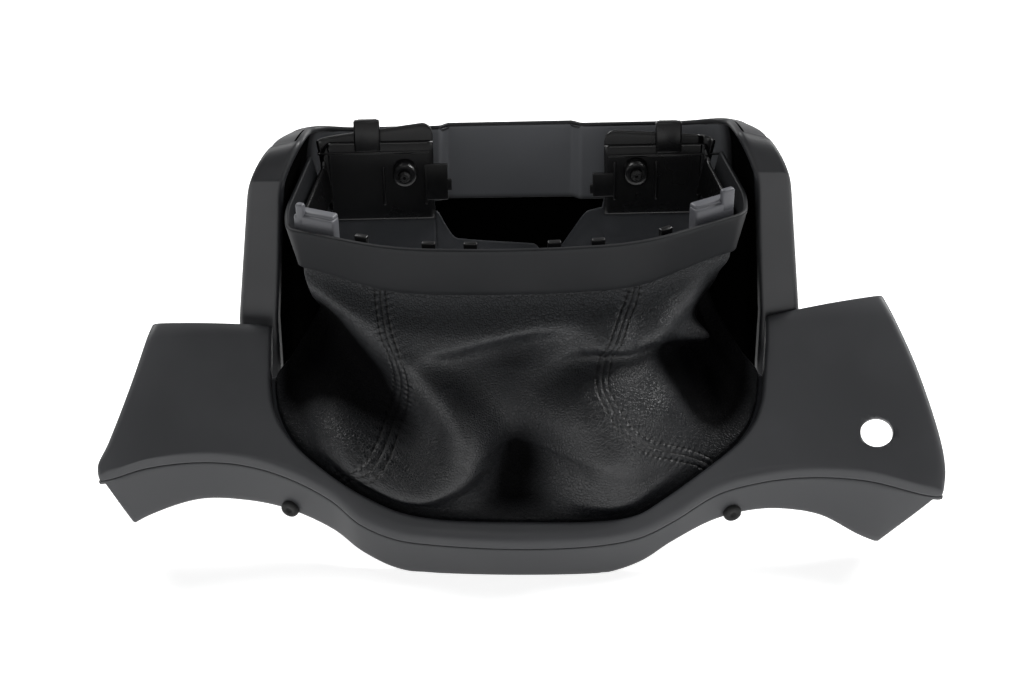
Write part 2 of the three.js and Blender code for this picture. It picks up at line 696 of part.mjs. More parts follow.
// A line through corners with each corner rounded, as samples with their inward way and share of the length
function track(corners, cornerSteps = 3, lineSteps = 2) {
  const samples = [];
  const points = corners.map(([x, y]) => new THREE.Vector2(x, y));
  let from = points[0];
  for (let i = 1; i < points.length; i++) {
    const isEnd = i === points.length - 1;
    const before = points[i].clone().sub(points[i - 1]).normalize();
    const trim = isEnd ? 0 : corners[i][2];
    const to = points[i].clone().addScaledVector(before, -trim);
    const first = samples.length ? 1 : 0;
    for (const t of steps(lineSteps).slice(first)) {
      samples.push({ at: from.clone().lerp(to, t), way: before.clone() });
    }
    if (isEnd) break;
    const after = points[i + 1].clone().sub(points[i]).normalize();
    const out = points[i].clone().addScaledVector(after, trim);
    for (const t of steps(cornerSteps).slice(1)) {
      const a = to.clone().lerp(points[i], t);
      const b = points[i].clone().lerp(out, t);
      samples.push({ at: a.clone().lerp(b, t), way: b.clone().sub(a).normalize() });
    }
    from = out;
  }
  let length = 0;
  samples.forEach((s, i) => {
    if (i) length += s.at.distanceTo(samples[i - 1].at);
    s.length = length;
  });
  samples.forEach((s) => {
    s.share = s.length / length;
    s.inwards = new THREE.Vector2(-s.way.y, s.way.x);
  });
  return samples;
}

const ringTrack = track(ringCorners);

// A point of the ring at a share of its length, some way inside its outline and above its rim
function ringPoint(share, inside, rise) {
  const next = Math.max(1, ringTrack.findIndex((s) => s.share >= share - 1e-9));
  const a = ringTrack[next - 1];
  const b = ringTrack[next];
  const t = (share - a.share) / (b.share - a.share);
  const at = a.at.clone().lerp(b.at, t);
  const inwards = a.inwards.clone().lerp(b.inwards, t).normalize();
  const offset = inside - rise * Math.tan(bandTaper);
  return vector(at.x + inwards.x * offset, at.y + inwards.y * offset, rise);
}

const ringFrame = new THREE.Matrix4().compose(
  ringPlace,
  new THREE.Quaternion().setFromEuler(new THREE.Euler(ringTilt, -ringRoll, ringYaw)),
  vector(1, 1, 1),
);

// The ring's shares that the outer band covers, and how much a share lies on a rear plate
const bandStart = 0.135;
const onPlate = (share) => 1 - limit((Math.min(share, 1 - share) - 0.105) / 0.03, 0, 1);
const shareAt = (along) => 0.5 + along / ringTrack.at(-1).length;
const towardsFront = (share) => {
  const along = Math.abs(share - 0.5) * ringTrack.at(-1).length;
  return ease(limit((frontReach - along) / frontBlend, 0, 1));
};
const apart = 0.004; // samples nearer than this share are left out
const ringShares = (from, to) =>
  ringTrack.map((s) => s.share).filter((s) => s > from + apart && s < to - apart);

const bandDepth = (share) => {
  const along = Math.abs(share - 0.5) * ringTrack.at(-1).length;
  return bandHeight + bandSag * ease(limit((sagReach - along) / sagBlend, 0, 1));
};

function makeBand() {
  const shares = [bandStart, ...ringShares(bandStart, 1 - bandStart), 1 - bandStart];
  return shell(shares, [-1, -0.5, 0], (s, down) => ringPoint(s, 0, down * bandDepth(s)), bandWall);
}

const clampInside = bandWall + leather + 3 * clearance;

// A block standing along the ring, its length along the outline and its outer face some way inside the rim
function ringBlock(share, inside, size, low) {
  const at = ringPoint(share, inside + size.y / 2, 0);
  const next = ringPoint(Math.min(share + 0.004, 1), inside + size.y / 2, 0);
  const angle = Math.atan2(next.y - at.y, next.x - at.x);
  return new THREE.BoxGeometry(size.x, size.y, size.z)
    .rotateZ(angle)
    .translate(at.x, at.y, low + size.z / 2);
}

// The ring's share at an x on one of the rear plates, and where a plate's screw boss stands
const plateShare = (x) => {
  const inner = x < 0 ? ringCorners[0][0] : ringCorners.at(-1)[0];
  const run = Math.abs(x - inner) / ringTrack.at(-1).length;
  return x < 0 ? run : 1 - run;
};
const bossFoot = (plate) => ringPoint(plateShare(plate.bossX), clampInside + clampWall / 3, -plate.bossDrop);

// A block on a rear plate, leaning with it: from x to x, from its bottom to its top
function plateBlock(from, to, bottom, top, inside, depth) {
  const middle = (bottom + top) / 2;
  const at = ringPoint(0, inside + depth / 2, middle);
  return new THREE.BoxGeometry(Math.abs(to - from), depth, (top - bottom) / Math.cos(bandTaper))
    .rotateX(-bandTaper)
    .translate((from + to) / 2, at.y, middle);
}

// The top edge of the clamp ring at a share of its length: low in front, high and rounded at the plates
function clampTop(share) {
  const plate = share < 0.5 ? plates.left : plates.right;
  const fromEnd = Math.min(share, 1 - share) * ringTrack.at(-1).length;
  const run = Math.abs(ringCorners[1][0] - ringCorners[0][0]);
  const rounded = plateRound * (1 - Math.sqrt(1 - (1 - limit(fromEnd / plateRound, 0, 1)) ** 2));
  const rise = mix(plate.innerRise, plate.outerRise, limit(fromEnd / run, 0, 1)) - rounded;
  return mix(mix(-sideDrop, rise, onPlate(share)), -frontDrop, towardsFront(share));
}

function makeClampRing() {
  const bottom = (s) => mix(-bandHeight, -plateDrop, onPlate(s));
  const ends = [0, 0.2, 0.55, 1].map((t) => (t * plateRound) / ringTrack.at(-1).length);
  const middle = ringShares(ends.at(-1), 1 - ends.at(-1));
  const shares = [...ends, ...middle, ...ends.map((s) => 1 - s).reverse()];
  const wall = (s, t) => ringPoint(s, clampInside, mix(bottom(s), clampTop(s), t));
  let body = solid(shell(shares, [0, 0.5, 1], wall, clampWall));
  for (const [side, plate] of Object.entries(plates)) {
    const way = side === "left" ? 1 : -1;
    const inner = side === "left" ? ringCorners[0][0] : ringCorners.at(-1)[0];
    const hook = [plate.hookX - hookSize.x / 2, plate.hookX + hookSize.x / 2];
    const hookLow = plate.hookRise - hookSize.z;
    body = body.add(solid(plateBlock(...hook, hookLow, plate.hookRise, clampInside + 0.7, hookSize.y)));
    const ledge = [plate.hookX - ledgeSize.x / 2, plate.hookX + ledgeSize.x / 2];
    const under = plate.hookRise - 1 - ledgeSize.z;
    const behind = clampInside - ledgeSize.y + 1.5;
    body = body.add(solid(plateBlock(...ledge, under, plate.hookRise - 1, behind, ledgeSize.y)));
    const foot = bossFoot(plate);
    body = body.add(solid(rod(boss.radius, boss.depth, foot, vector(0, -1, 0), 16)));
    const bore = foot.clone().setY(foot.y - 2 * boss.depth);
    body = body.subtract(solid(rod(screw.shank / 2 + clearance, 4 * boss.depth, bore, vector(0, 1, 0), 12)));
    plate.steps.forEach(([reach, top, low], i) => {
      const inset = stepInset * (i + 1);
      const root = inner - way * (stepRoot - i);
      const depth = stepDepth - 2 * inset;
      const step = plateBlock(root, inner + way * reach, low, top, clampInside + inset, depth);
      body = body.add(solid(step));
    });
  }
  for (const along of tabsAlong) {
    const tab = ringBlock(shareAt(along), clampInside + 1.2, tabSize, tabRise - tabSize.z);
    body = body.add(solid(tab));
  }
  return geometryOf(body);
}

// A guide block in a front corner of the ring, standing on the clamp ring's front rim
function makeGuide(guide, side) {
  const size = vector(guide.length, guide.depth, guide.height - guideCap.drop);
  const low = -frontDrop + guideGap;
  const share = shareAt(guide.along);
  let body = solid(ringBlock(share, guideInside, size, low));
  const cap = vector(guide.length, guide.depth - guideCap.back, guideCap.height);
  const capInside = guideInside + guideCap.back;
  body = body.add(solid(ringBlock(share, capInside, cap, low + size.z - guideCap.root)));
  const lugShare = shareAt(guide.along + (side * (guide.length - guide.lug)) / 2);
  const lug = vector(guide.lug, lugDepth, guide.lugRise + lugRoot);
  body = body.add(solid(ringBlock(lugShare, guideInside, lug, low + size.z - lugRoot)));
  return geometryOf(body);
}

// The gaiter's lower rail, and the ring share that each of its points hangs from
const hemPoint = (station, out, n) => {
  const { inner, across } = faceSection(station);
  return facePoint(inner.x + across.x * out, inner.y + across.y * out, n);
};
// The leather comes down inside the lip, turns under it and ends clamped there: [out, n] of each
const hemTurn = [
  [-1.7, -lipDepth + 1.2],
  [-1.2, -lipDepth - hemGap],
  [hemWidth, -lipDepth - hemGap],
];
const gaiterRail = new THREE.CatmullRomCurve3(
  gaiterStations.map(([, foot]) => (Array.isArray(foot) ? vector(...foot) : hemPoint(foot, ...hemTurn[0]))),
  false,
  "centripetal",
);

// How far along the rail a share of the ring is, counted in stations
function railPlace(share) {
  const next = Math.max(1, gaiterStations.findIndex(([s]) => s >= share - 1e-9));
  const [from] = gaiterStations[next - 1];
  const [to] = gaiterStations[next];
  return next - 1 + (share - from) / (to - from);
}

// Each fold's line as short straight pieces, in millimetres on the leather
const foldLines = gaiterFolds.map(({ line, widths }) => {
  const points = line.map(([share, down, out]) => vector(share * leatherScale.x, down * leatherScale.y, out));
  const curve = new THREE.CatmullRomCurve3(points, false, "centripetal");
  return { widths, points: curve.getPoints(foldSteps * (line.length - 1)) };
});

// How far a fold stands out at a place: its height at the nearest point of its line, less with distance
function foldHeight({ widths, points }, place) {
  let nearest = Infinity;
  let height = 0;
  for (let i = 1; i < points.length; i++) {
    const a = points[i - 1];
    const way = points[i].clone().sub(a).setZ(0);
    const length = way.length();
    const from = place.clone().sub(a).setZ(0);
    const t = limit(from.dot(way) / length ** 2, 0, 1);
    const gap = from.addScaledVector(way, -t);
    const distance = gap.length();
    if (distance >= nearest) continue;
    nearest = distance;
    const side = (way.x * gap.y - way.y * gap.x) / length / Math.max(distance, 1e-6);
    const width = mix(widths[1], widths[0], 0.5 + 0.5 * side);
    height = mix(a.z, points[i].z, t) * Math.exp(-((distance / width) ** 2));
  }
  return height;
}

// The upper edge of the leather some way above its lowest held line; between the plates it sags freely
function sleeveTop(share, rise) {
  const held = limit(share, 0, 1);
  const low = mix(-bandDepth(held), -plateDrop, onPlate(held)) - 1;
  const reach = share > 1 ? freeHem : 1;
  const top = ringPoint(held, bandWall + clearance, low + rise * reach).applyMatrix4(ringFrame);
  if (share <= 1) return top;
  const inRear = (share - 1) / (sleeveEnd - 1);
  const first = ringPoint(0, bandWall + clearance, low + rise * reach).applyMatrix4(ringFrame);
  const flat = 1 - Math.abs(2 * inRear - 1) ** 4;
  return top.lerp(first, inRear).add(vector(0, -3 * flat, -freeSag * flat));
}

// The leather: rows 0-1 are the hem held in the ring, 1-2 the free folds,
// 2-3 the turned edge under the fascia's lip
function gaiterSurface(share, row) {
  if (row <= 1) return sleeveTop(share, (hemHeight + 1) * (1 - row));
  const foot = footPoint(railPlace(share), row > 2.5 ? 2 : row > 2 ? 1 : 0);
  if (row > 2) return foot;
  const down = row - 1;
  const top = sleeveTop(share, 0);
  const side = Math.sign(top.x);
  const place = vector(share * leatherScale.x, down * leatherScale.y, 0);
  const front = limit((Math.min(share, 1 - share) - bulgeFrom) / bulgeOver, 0, 1);
  let stand = frontBulge * Math.sin(Math.PI * down) * front;
  for (const fold of foldLines) stand += foldHeight(fold, place);
  let inwards = 0;
  for (const [at, low, width, sideways, backwards] of gaiterPulls) {
    const away = Math.hypot((share - at) * leatherScale.x, (down - low) * leatherScale.y);
    const pull = Math.exp(-((away / width) ** 2));
    inwards += sideways * pull;
    stand -= backwards * pull;
  }
  const hold = ease(limit(down / holdTop, 0, 1) * limit((1 - down) / holdFoot, 0, 1));
  return top.lerp(foot, down).add(vector(-side * inwards * hold, -stand * hold, 0));
}

// The leather's lower edge: under the fascia's lip it turns outwards, inside the hood it only hangs
function footPoint(place, turn) {
  const i = Math.min(Math.floor(place), gaiterStations.length - 2);
  const from = gaiterStations[i][1];
  const to = gaiterStations[i + 1][1];
  const t = place - i;
  if (!Array.isArray(from) && !Array.isArray(to)) return hemPoint(mix(from, to, t), ...hemTurn[turn]);
  const turned = (foot) => {
    if (Array.isArray(foot)) return vector(0, 0, -3 * turn);
    return hemPoint(foot, ...hemTurn[turn]).sub(hemPoint(foot, ...hemTurn[0]));
  };
  const loose = gaiterRail.getPoint(place / (gaiterStations.length - 1));
  return loose.add(turned(from).lerp(turned(to), t));
}

function makeGaiter() {
  const rows = [3, 2.5, ...steps(13, 2, 1), 0];
  const corners = [0, ...ringShares(0, 1), 1];
  const between = [...steps(9, 0, 0.22), ...steps(38, 0.24, 0.76), ...steps(9, 0.78, 1)];
  const spaced = between.filter((s) => corners.every((c) => Math.abs(c - s) > 0.006));
  const shares = [...corners, ...spaced].sort((a, b) => a - b);
  return shell([...shares, ...steps(6, 1, sleeveEnd).slice(1)], rows, gaiterSurface, leather);
}

// A U-shaped strip that clamps the leather's hem under the fascia's lip
function makeRetainer() {
  const stations = steps(44, retainerSpan.from, retainerSpan.to);
  const top = (station, w) => {
    const { inner, across, width } = faceSection(station);
    const out = mix(-retainerOverlap, Math.min(retainerWidth, width - clearance), w);
    return facePoint(inner.x + across.x * out, inner.y + across.y * out, retainerLevel);
  };
  let body = solid(shell(stations, [1, 0.5, 0], top, retainerWall));
  for (const station of retainerScrews) {
    const start = retainerScrewPlace(station, 0);
    body = body.subtract(solid(rod(screw.shank / 2 + clearance, boreLength, start, intoFace, 12)));
  }
  return geometryOf(body);
}

// A pan-head screw, its head's underside at z = 0 and its shank along -Z
function screwShape(length) {
  const shank = screw.shank / 2;
  const head = screw.head / 2;
  const profile = [
    [0, -length],
    [shank * 0.4, -length],
    [shank, -length + 1.6],
    [shank, 0],
    [head, 0],
    [head, screw.headHeight * 0.5],
    [head * 0.7, screw.headHeight],
    [shank * 0.7, screw.headHeight],
    [0, screw.headHeight * 0.45],
  ];
  const points = profile.map(([r, z]) => new THREE.Vector2(r, z));
  return new THREE.LatheGeometry(points, 10).rotateX(Math.PI / 2);
}

// A folded sheet-steel clip: two legs and a bridge over its tower
function clipShape() {
  const inside = clip.tower / 2 + clearance;
  const outside = inside + clip.metal;
  const bridge = clip.height + clearance;
  const outline = new THREE.Shape();
  outline.moveTo(-outside - 1.6, 4);
  outline.lineTo(-outside, bridge);
  outline.quadraticCurveTo(-outside, bridge + clip.metal, -outside + clip.metal, bridge + clip.metal);
  outline.lineTo(outside - clip.metal, bridge + clip.metal);
  outline.quadraticCurveTo(outside, bridge + clip.metal, outside, bridge);
  outline.lineTo(outside + 1.6, 4);
  outline.lineTo(outside + 1.6 - clip.metal, 4);
  outline.lineTo(inside, bridge);
  outline.lineTo(-inside, bridge);
  outline.lineTo(-outside - 1.6 + clip.metal, 4);
  outline.closePath();
  const width = clip.width - 3;
  return new THREE.ExtrudeGeometry(outline, { depth: width, bevelEnabled: false, curveSegments: 3 })
    .translate(0, 0, -width / 2)
    .rotateX(Math.PI / 2)
    .rotateZ(Math.PI / 2);
}

// A rubber bumper: a rounded U pressed over the skirt's lower edge
function bumperShape() {
  const half = fasciaWall / 2 + clearance;
  const outer = half + bumper.wall;
  const outline = new THREE.Shape();
  outline.moveTo(-outer, bumper.height - 1);
  outline.quadraticCurveTo(-outer, bumper.height, -outer + 1, bumper.height);
  outline.lineTo(-half, bumper.height);
  outline.lineTo(-half, 0);
  outline.lineTo(half, 0);
  outline.lineTo(half, bumper.height);
  outline.lineTo(outer - 1, bumper.height);
  outline.quadraticCurveTo(outer, bumper.height, outer, bumper.height - 1);
  outline.lineTo(outer, -bumper.drop + 1.2);
  outline.quadraticCurveTo(outer, -bumper.drop, outer - 1.2, -bumper.drop);
  outline.lineTo(-outer + 1.2, -bumper.drop);
  outline.quadraticCurveTo(-outer, -bumper.drop, -outer, -bumper.drop + 1.2);
  outline.closePath();
  const straight = bumper.width - 1.2;
  return new THREE.ExtrudeGeometry(outline, {
    depth: straight,
    bevelThickness: 0.6,
    bevelSize: 0.5,
    bevelOffset: -0.5,
    bevelSegments: 1,
    curveSegments: 3,
  }).translate(0, 0, -straight / 2);
}

// The bumper's frame on the hem: its own Y up the skirt, its Z along the edge
function bumperFrame(station) {
  const along = fasciaSurface(station + 0.05, 6).sub(fasciaSurface(station - 0.05, 6)).normalize();
  const up = fasciaSurface(station, 5.5).sub(fasciaSurface(station, 6)).normalize();
  const across = up.clone().cross(along).normalize();
  const level = along.clone().cross(across).normalize();
  const front = fasciaSurface(station, 6);
  const middle = front.addScaledVector(across, across.y > 0 ? fasciaWall / 2 : -fasciaWall / 2);
  middle.addScaledVector(level, -clearance);
  return new THREE.Matrix4().makeBasis(across, level, along).setPosition(middle);
}

const materials = {
  shell: new THREE.MeshStandardMaterial({ color: 0x2b2c2e, roughness: 0.62, metalness: 0 }),
  leather: new THREE.MeshStandardMaterial({ color: 0x17181c, roughness: 0.5, metalness: 0 }),
  gloss: new THREE.MeshStandardMaterial({ color: 0x0d0d0f, roughness: 0.25, metalness: 0 }),
  grey: new THREE.MeshStandardMaterial({ color: 0x4a4b4e, roughness: 0.55, metalness: 0 }),
  rubber: new THREE.MeshStandardMaterial({ color: 0x0c0c0c, roughness: 0.85, metalness: 0 }),
  steel: new THREE.MeshStandardMaterial({ color: 0x8d8f92, roughness: 0.35, metalness: 1 }),
};

const trim = new THREE.Group();
const ring = new THREE.Group();
ring.applyMatrix4(ringFrame);
trim.add(ring);

function place(parent, name, geometry, material, frame) {
  const mesh = new THREE.Mesh(geometry, material);
  mesh.name = name;
  if (frame) mesh.applyMatrix4(frame);
  parent.add(mesh);
  return mesh;
}

// A frame whose Z runs along a direction
function frameAt(position, direction) {
  const turn = new THREE.Quaternion().setFromUnitVectors(vector(0, 0, 1), direction.clone().normalize());
  return new THREE.Matrix4().compose(position, turn, vector(1, 1, 1));
}

place(trim, "fascia", makeFascia(), materials.shell);
place(trim, "hood", makeHood(), materials.shell);
place(trim, "gaiter", makeGaiter(), materials.leather);
place(trim, "gaiter_retainer", makeRetainer(), materials.shell);
place(ring, "gaiter_ring", makeBand(), materials.grey);
place(ring, "clamp_ring", makeClampRing(), materials.gloss);
place(ring, "guide_block_left", makeGuide(guideLeft, -1), materials.grey);
place(ring, "guide_block_right", makeGuide(guideRight, 1), materials.grey);

retainerScrews.forEach((station, i) => {
  const seat = retainerScrewPlace(station, retainerLevel - retainerWall - clearance);
  const frame = frameAt(seat, intoFace);
  place(trim, `retainer_screw_${i + 1}`, screwShape(screwLength), materials.steel, frame);
});
hoodScrews.forEach(([x, z], i) => {
  const frame = frameAt(vector(x, pillarY + hoodWall + clearance, z), vector(0, 1, 0));
  place(trim, `hood_screw_${i + 1}`, screwShape(screwLength), materials.steel, frame);
});
Object.entries(plates).forEach(([side, plate]) => {
  const seat = bossFoot(plate).setY(bossFoot(plate).y - boss.depth - clearance);
  const frame = frameAt(seat, vector(0, -1, 0));
  place(ring, `plate_screw_${side}`, screwShape(plateScrewLength), materials.steel, frame);
});
clipPlaces.forEach(([x, v], i) => {
  const frame = frameAt(facePoint(x, v, -fasciaWall * 0.6), intoFace);
  place(trim, `spring_clip_${i + 1}`, clipShape(), materials.steel, frame);
});
Object.entries(bumperStations).forEach(([side, station]) => {
  place(trim, `edge_bumper_${side}`, bumperShape(), materials.rubber, bumperFrame(station));
});

// The origin is the bottom centre of the whole part's box
const part = new THREE.Group();
part.add(trim);
trim.updateMatrixWorld(true);
const box = new THREE.Box3().setFromObject(trim, true);
trim.position.set(-(box.min.x + box.max.x) / 2, -(box.min.y + box.max.y) / 2, -box.min.z);

export default part;
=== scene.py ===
import math

import bmesh
import bpy
import numpy as np
from mathutils import Euler, Matrix, Vector


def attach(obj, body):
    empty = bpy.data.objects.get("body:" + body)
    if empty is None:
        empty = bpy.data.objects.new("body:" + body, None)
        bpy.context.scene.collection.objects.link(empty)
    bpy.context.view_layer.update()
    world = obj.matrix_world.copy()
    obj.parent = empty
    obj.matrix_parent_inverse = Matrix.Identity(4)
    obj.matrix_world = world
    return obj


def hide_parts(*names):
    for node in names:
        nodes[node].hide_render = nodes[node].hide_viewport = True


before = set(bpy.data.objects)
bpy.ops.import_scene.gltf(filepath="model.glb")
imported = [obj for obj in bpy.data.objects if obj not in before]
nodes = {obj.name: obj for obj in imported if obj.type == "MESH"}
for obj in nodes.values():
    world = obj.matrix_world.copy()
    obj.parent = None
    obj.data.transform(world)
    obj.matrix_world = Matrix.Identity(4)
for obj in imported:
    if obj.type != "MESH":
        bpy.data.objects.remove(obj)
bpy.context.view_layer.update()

# Sizes below are in millimetres, in the frame in which the part is drawn; shift moves them to the row's frame
mm = 0.001
shift = np.array([-0.891, -69.804, 0.0])


# Small helpers, for numbers and whole arrays

# t, held between low and high
def limit(t, low=0.0, high=1.0):
    return np.minimum(np.maximum(t, low), high)


# A soft step from 0 to 1: three t squared less two t cubed
def ease(t):
    t = limit(t)
    return t * t * (3 - 2 * t)


# a plus the share t of the way to b
def mix(a, b, t):
    return a + (b - a) * t


# A vector over its length
def unit(v):
    return v / np.maximum(np.linalg.norm(v, axis=-1, keepdims=True), 1e-9)


# Points from their x, y and z
def vec(x, y, z):
    x, y, z = np.broadcast_arrays(x, y, z)
    return np.stack([x, y, z], -1).astype(float)


# Several runs of places as one, in order and without repeats
def join(*parts):
    return np.unique(np.concatenate([np.atleast_1d(p) for p in parts]))


# A smooth line through points (centripetal Catmull-Rom): a cubic between each two, whose slope at a point comes from
# the points beside it, weighted by the roots of their distances; places are counted in points
def curveThrough(points, places):
    points = np.asarray(points, float)
    ends = np.vstack([2 * points[0] - points[1], points, 2 * points[-1] - points[-2]])
    i = np.clip(np.floor(places).astype(int), 0, len(points) - 2)
    t = (np.asarray(places) - i)[..., None]
    a, b, c, d = (ends[i + k] for k in range(4))
    ab, bc, cd = (np.sqrt(np.linalg.norm(q - p, axis=-1, keepdims=True)) for p, q in ((a, b), (b, c), (c, d)))
    start = ((b - a) / ab - (c - a) / (ab + bc) + (c - b) / bc) * bc
    end = ((c - b) / bc - (d - b) / (bc + cd) + (d - c) / cd) * bc
    bend = -3 * b + 3 * c - 2 * start - end
    twist = 2 * b - 2 * c + start + end
    return b + start * t + bend * t ** 2 + twist * t ** 3


# Points of a polyline at shares of its length
def alongLine(points, shares):
    points = np.asarray(points, float)
    run = np.r_[0, np.cumsum(np.linalg.norm(np.diff(points, axis=0), axis=1))]
    return np.stack([np.interp(shares * run[-1], run, points[:, k]) for k in range(points.shape[1])], -1)


# A mesh object from points in millimetres
def meshPiece(name, points, faces, materials, indices=None, body="root"):
    mesh = bpy.data.meshes.new(name)
    mesh.from_pydata(((np.asarray(points) + shift) * mm).tolist(), [], faces)
    mesh.polygons.foreach_set("use_smooth", np.ones(len(mesh.polygons), bool))
    for material in materials:
        mesh.materials.append(material)
    if indices is not None:
        mesh.polygons.foreach_set("material_index", np.asarray(indices, np.int32))
    mesh.update()
    piece = bpy.data.objects.new(name, mesh)
    bpy.context.scene.collection.objects.link(piece)
    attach(piece, body)
    return piece


# A closed wall from a grid of outer points: its thickness goes behind the grid's normal (along x across),
# and its two long rims are half round
def closedWall(grid, thickness, rimSteps=4, rimShare=1.0):
    grid = np.asarray(grid, float)
    normal = unit(np.cross(np.gradient(grid, axis=0), np.gradient(grid, axis=1)))
    inner = grid - normal * (thickness[..., None] if np.ndim(thickness) else thickness)
    half = rimSteps // 2

    def rim(edge, beside):
        outward = unit(grid[:, edge] - grid[:, beside])
        middle = (grid[:, edge] + inner[:, edge]) / 2
        side = (grid[:, edge] - inner[:, edge]) / 2
        radius = np.linalg.norm(side, axis=-1, keepdims=True) * rimShare
        turns = np.linspace(0, math.pi, rimSteps + 2)[1:-1]
        return [middle + side * math.cos(a) + outward * radius * math.sin(a) for a in turns]

    first = rim(0, 1)[::-1]
    last = rim(-1, -2)
    rows = first[half:] + [grid[:, j] for j in range(grid.shape[1])] + last
    rows += [inner[:, j] for j in range(grid.shape[1] - 1, -1, -1)] + first[:half]
    points = np.stack(rows, 1)
    count, loop = points.shape[:2]
    i, j = np.meshgrid(np.arange(count - 1), np.arange(loop), indexing="ij")
    k = (j + 1) % loop
    quads = np.stack([i * loop + j, (i + 1) * loop + j, (i + 1) * loop + k, i * loop + k], -1).reshape(-1, 4)
    faces = quads.tolist()
    base = (count - 1) * loop
    for a in range(loop // 2 - 1):
        b = loop - 1 - a
        faces.append([a, a + 1, b - 1, b])
        faces.append([base + b, base + b - 1, base + a + 1, base + a])
    outerRows = range(half + 1, half + grid.shape[1] + rimSteps // 2)
    isOuter = np.isin(j, list(outerRows)).ravel()
    indices = np.r_[np.where(isOuter, 0, 1), np.ones(2 * (loop // 2 - 1), int)]
    return points.reshape(-1, 3), faces, indices


# Values on the grid's points carried over to all the wall's points
def wallValues(values, rimSteps=4, other=None):
    half = rimSteps // 2
    other = values if other is None else other
    first, last = [values[:, 0]], [values[:, -1]]
    rows = first * (rimSteps - half) + [values[:, j] for j in range(values.shape[1])] + last * rimSteps
    rows += [other[:, j] for j in range(values.shape[1] - 1, -1, -1)] + first * half
    return np.stack(rows, 1).ravel()


# Values at a piece's points, kept under a name for its material
def giveValues(piece, name, values):
    attribute = piece.data.attributes.new(name, "FLOAT", "POINT")
    attribute.data.foreach_set("value", np.asarray(values, np.float32))


# Several closed shapes as one piece
def joined(shapes):
    points, faces, indices = [], [], []
    start = 0
    for shapePoints, shapeFaces, shapeIndices in shapes:
        points.append(shapePoints)
        faces += [[start + i for i in face] for face in shapeFaces]
        indices.append(np.zeros(len(shapeFaces), int) if shapeIndices is None else shapeIndices)
        start += len(shapePoints)
    return np.vstack(points), faces, np.concatenate(indices)


# A block with rounded edges
def roundedBlock(size, radius, segments=3):
    bm = bmesh.new()
    bmesh.ops.create_cube(bm, size=1, matrix=Matrix.Diagonal((*size, 1)))
    bmesh.ops.bevel(bm, geom=bm.edges[:], offset=radius, segments=segments, profile=0.5, affect="EDGES")
    points = np.array([v.co for v in bm.verts])
    faces = [[v.index for v in f.verts] for f in bm.faces]
    bm.free()
    return points, faces, None


# A turned shape from its profile of [radius, height], closed on its axis at both ends
def turned(profile, sides=32):
    profile = np.asarray(profile, float)
    turns = np.linspace(0, 2 * math.pi, sides, endpoint=False)
    inner = profile[1:-1]
    radius, height = inner[None, :, 0], inner[None, :, 1]
    around = vec(radius * np.cos(turns)[:, None], radius * np.sin(turns)[:, None], height)
    points = np.vstack([around.reshape(-1, 3), [0, 0, profile[0, 1]], [0, 0, profile[-1, 1]]])
    rows = len(inner)
    faces = []
    for i in range(sides):
        k = (i + 1) % sides
        faces += [[i * rows + j, k * rows + j, k * rows + j + 1, i * rows + j + 1] for j in range(rows - 1)]
        faces.append([sides * rows, k * rows, i * rows])
        faces.append([sides * rows + 1, i * rows + rows - 1, k * rows + rows - 1])
    return points, faces, None


# A shape turned about the origin, then moved to its place
def moved(shape, turn, place):
    points, faces, indices = shape
    return points @ np.asarray(turn).T + np.asarray(place), faces, indices


# Materials; a Mix node's sockets have numbers: first and second input, then the result
colourSockets = (6, 7, 2)
vectorSockets = (4, 5, 1)


# An sRGB hex value as linear red, green and blue: the dark end over 12.92, the rest on the curve with power 2.4
def linear(hexColour):
    rgb = [int(hexColour[i:i + 2], 16) / 255 for i in (0, 2, 4)]
    return [c / 12.92 if c <= 0.04045 else ((c + 0.055) / 1.055) ** 2.4 for c in rgb] + [1.0]


# A material and its shader; a metal keeps the default IOR of 1.5
def newMaterial(name, colour, roughness, ior=1.5, metallic=0.0):
    material = bpy.data.materials.new(name)
    material.use_nodes = True
    shader = material.node_tree.nodes["Principled BSDF"]
    shader.inputs["Base Color"].default_value = linear(colour)
    shader.inputs["Roughness"].default_value = roughness
    shader.inputs["IOR"].default_value = ior
    shader.inputs["Metallic"].default_value = metallic
    return material, shader


# A node with its settings, the values of its sockets and the links into it
def addNode(material, kind, values=None, links=None, **settings):
    node = material.node_tree.nodes.new(kind)
    for key, value in settings.items():
        setattr(node, key, value)
    for key, value in (values or {}).items():
        node.inputs[key].default_value = value
    for key, socket in (links or {}).items():
        material.node_tree.links.new(socket, node.inputs[key])
    return node


# Noise in object space whose features are about that many millimetres across
def noiseOf(material, size, detail=2.0, roughness=0.5):
    at = addNode(material, "ShaderNodeTexCoord")
    values = {"Scale": 1000 / size, "Detail": detail, "Roughness": roughness}
    return addNode(material, "ShaderNodeTexNoise", values, {"Vector": at.outputs["Object"]})


# The range low to high of a socket's values, spread over toLow to toHigh and held at its ends
def ramp(material, socket, low, high, toLow, toHigh):
    values = {"From Min": low, "From Max": high, "To Min": toLow, "To Max": toHigh}
    node = addNode(material, "ShaderNodeMapRange", values, {"Value": socket})
    return node.outputs["Result"]


# Two colours mixed by a factor, each a hex value or a socket
def colourBetween(material, factor, first, second):
    node = addNode(material, "ShaderNodeMix", links={"Factor": factor}, data_type="RGBA")
    for index, colour in zip(colourSockets, (first, second)):
        if isinstance(colour, str):
            node.inputs[index].default_value = linear(colour)
        else:
            material.node_tree.links.new(colour, node.inputs[index])
    return node.outputs[colourSockets[2]]


# A bump whose full height is some millimetres, laid over the one before it
def bumpOf(material, socket, depth, strength=1.0, before=None):
    links = {"Height": socket}
    if before:
        links["Normal"] = before
    node = addNode(material, "ShaderNodeBump", {"Strength": strength, "Distance": depth * mm}, links)
    return node.outputs["Normal"]


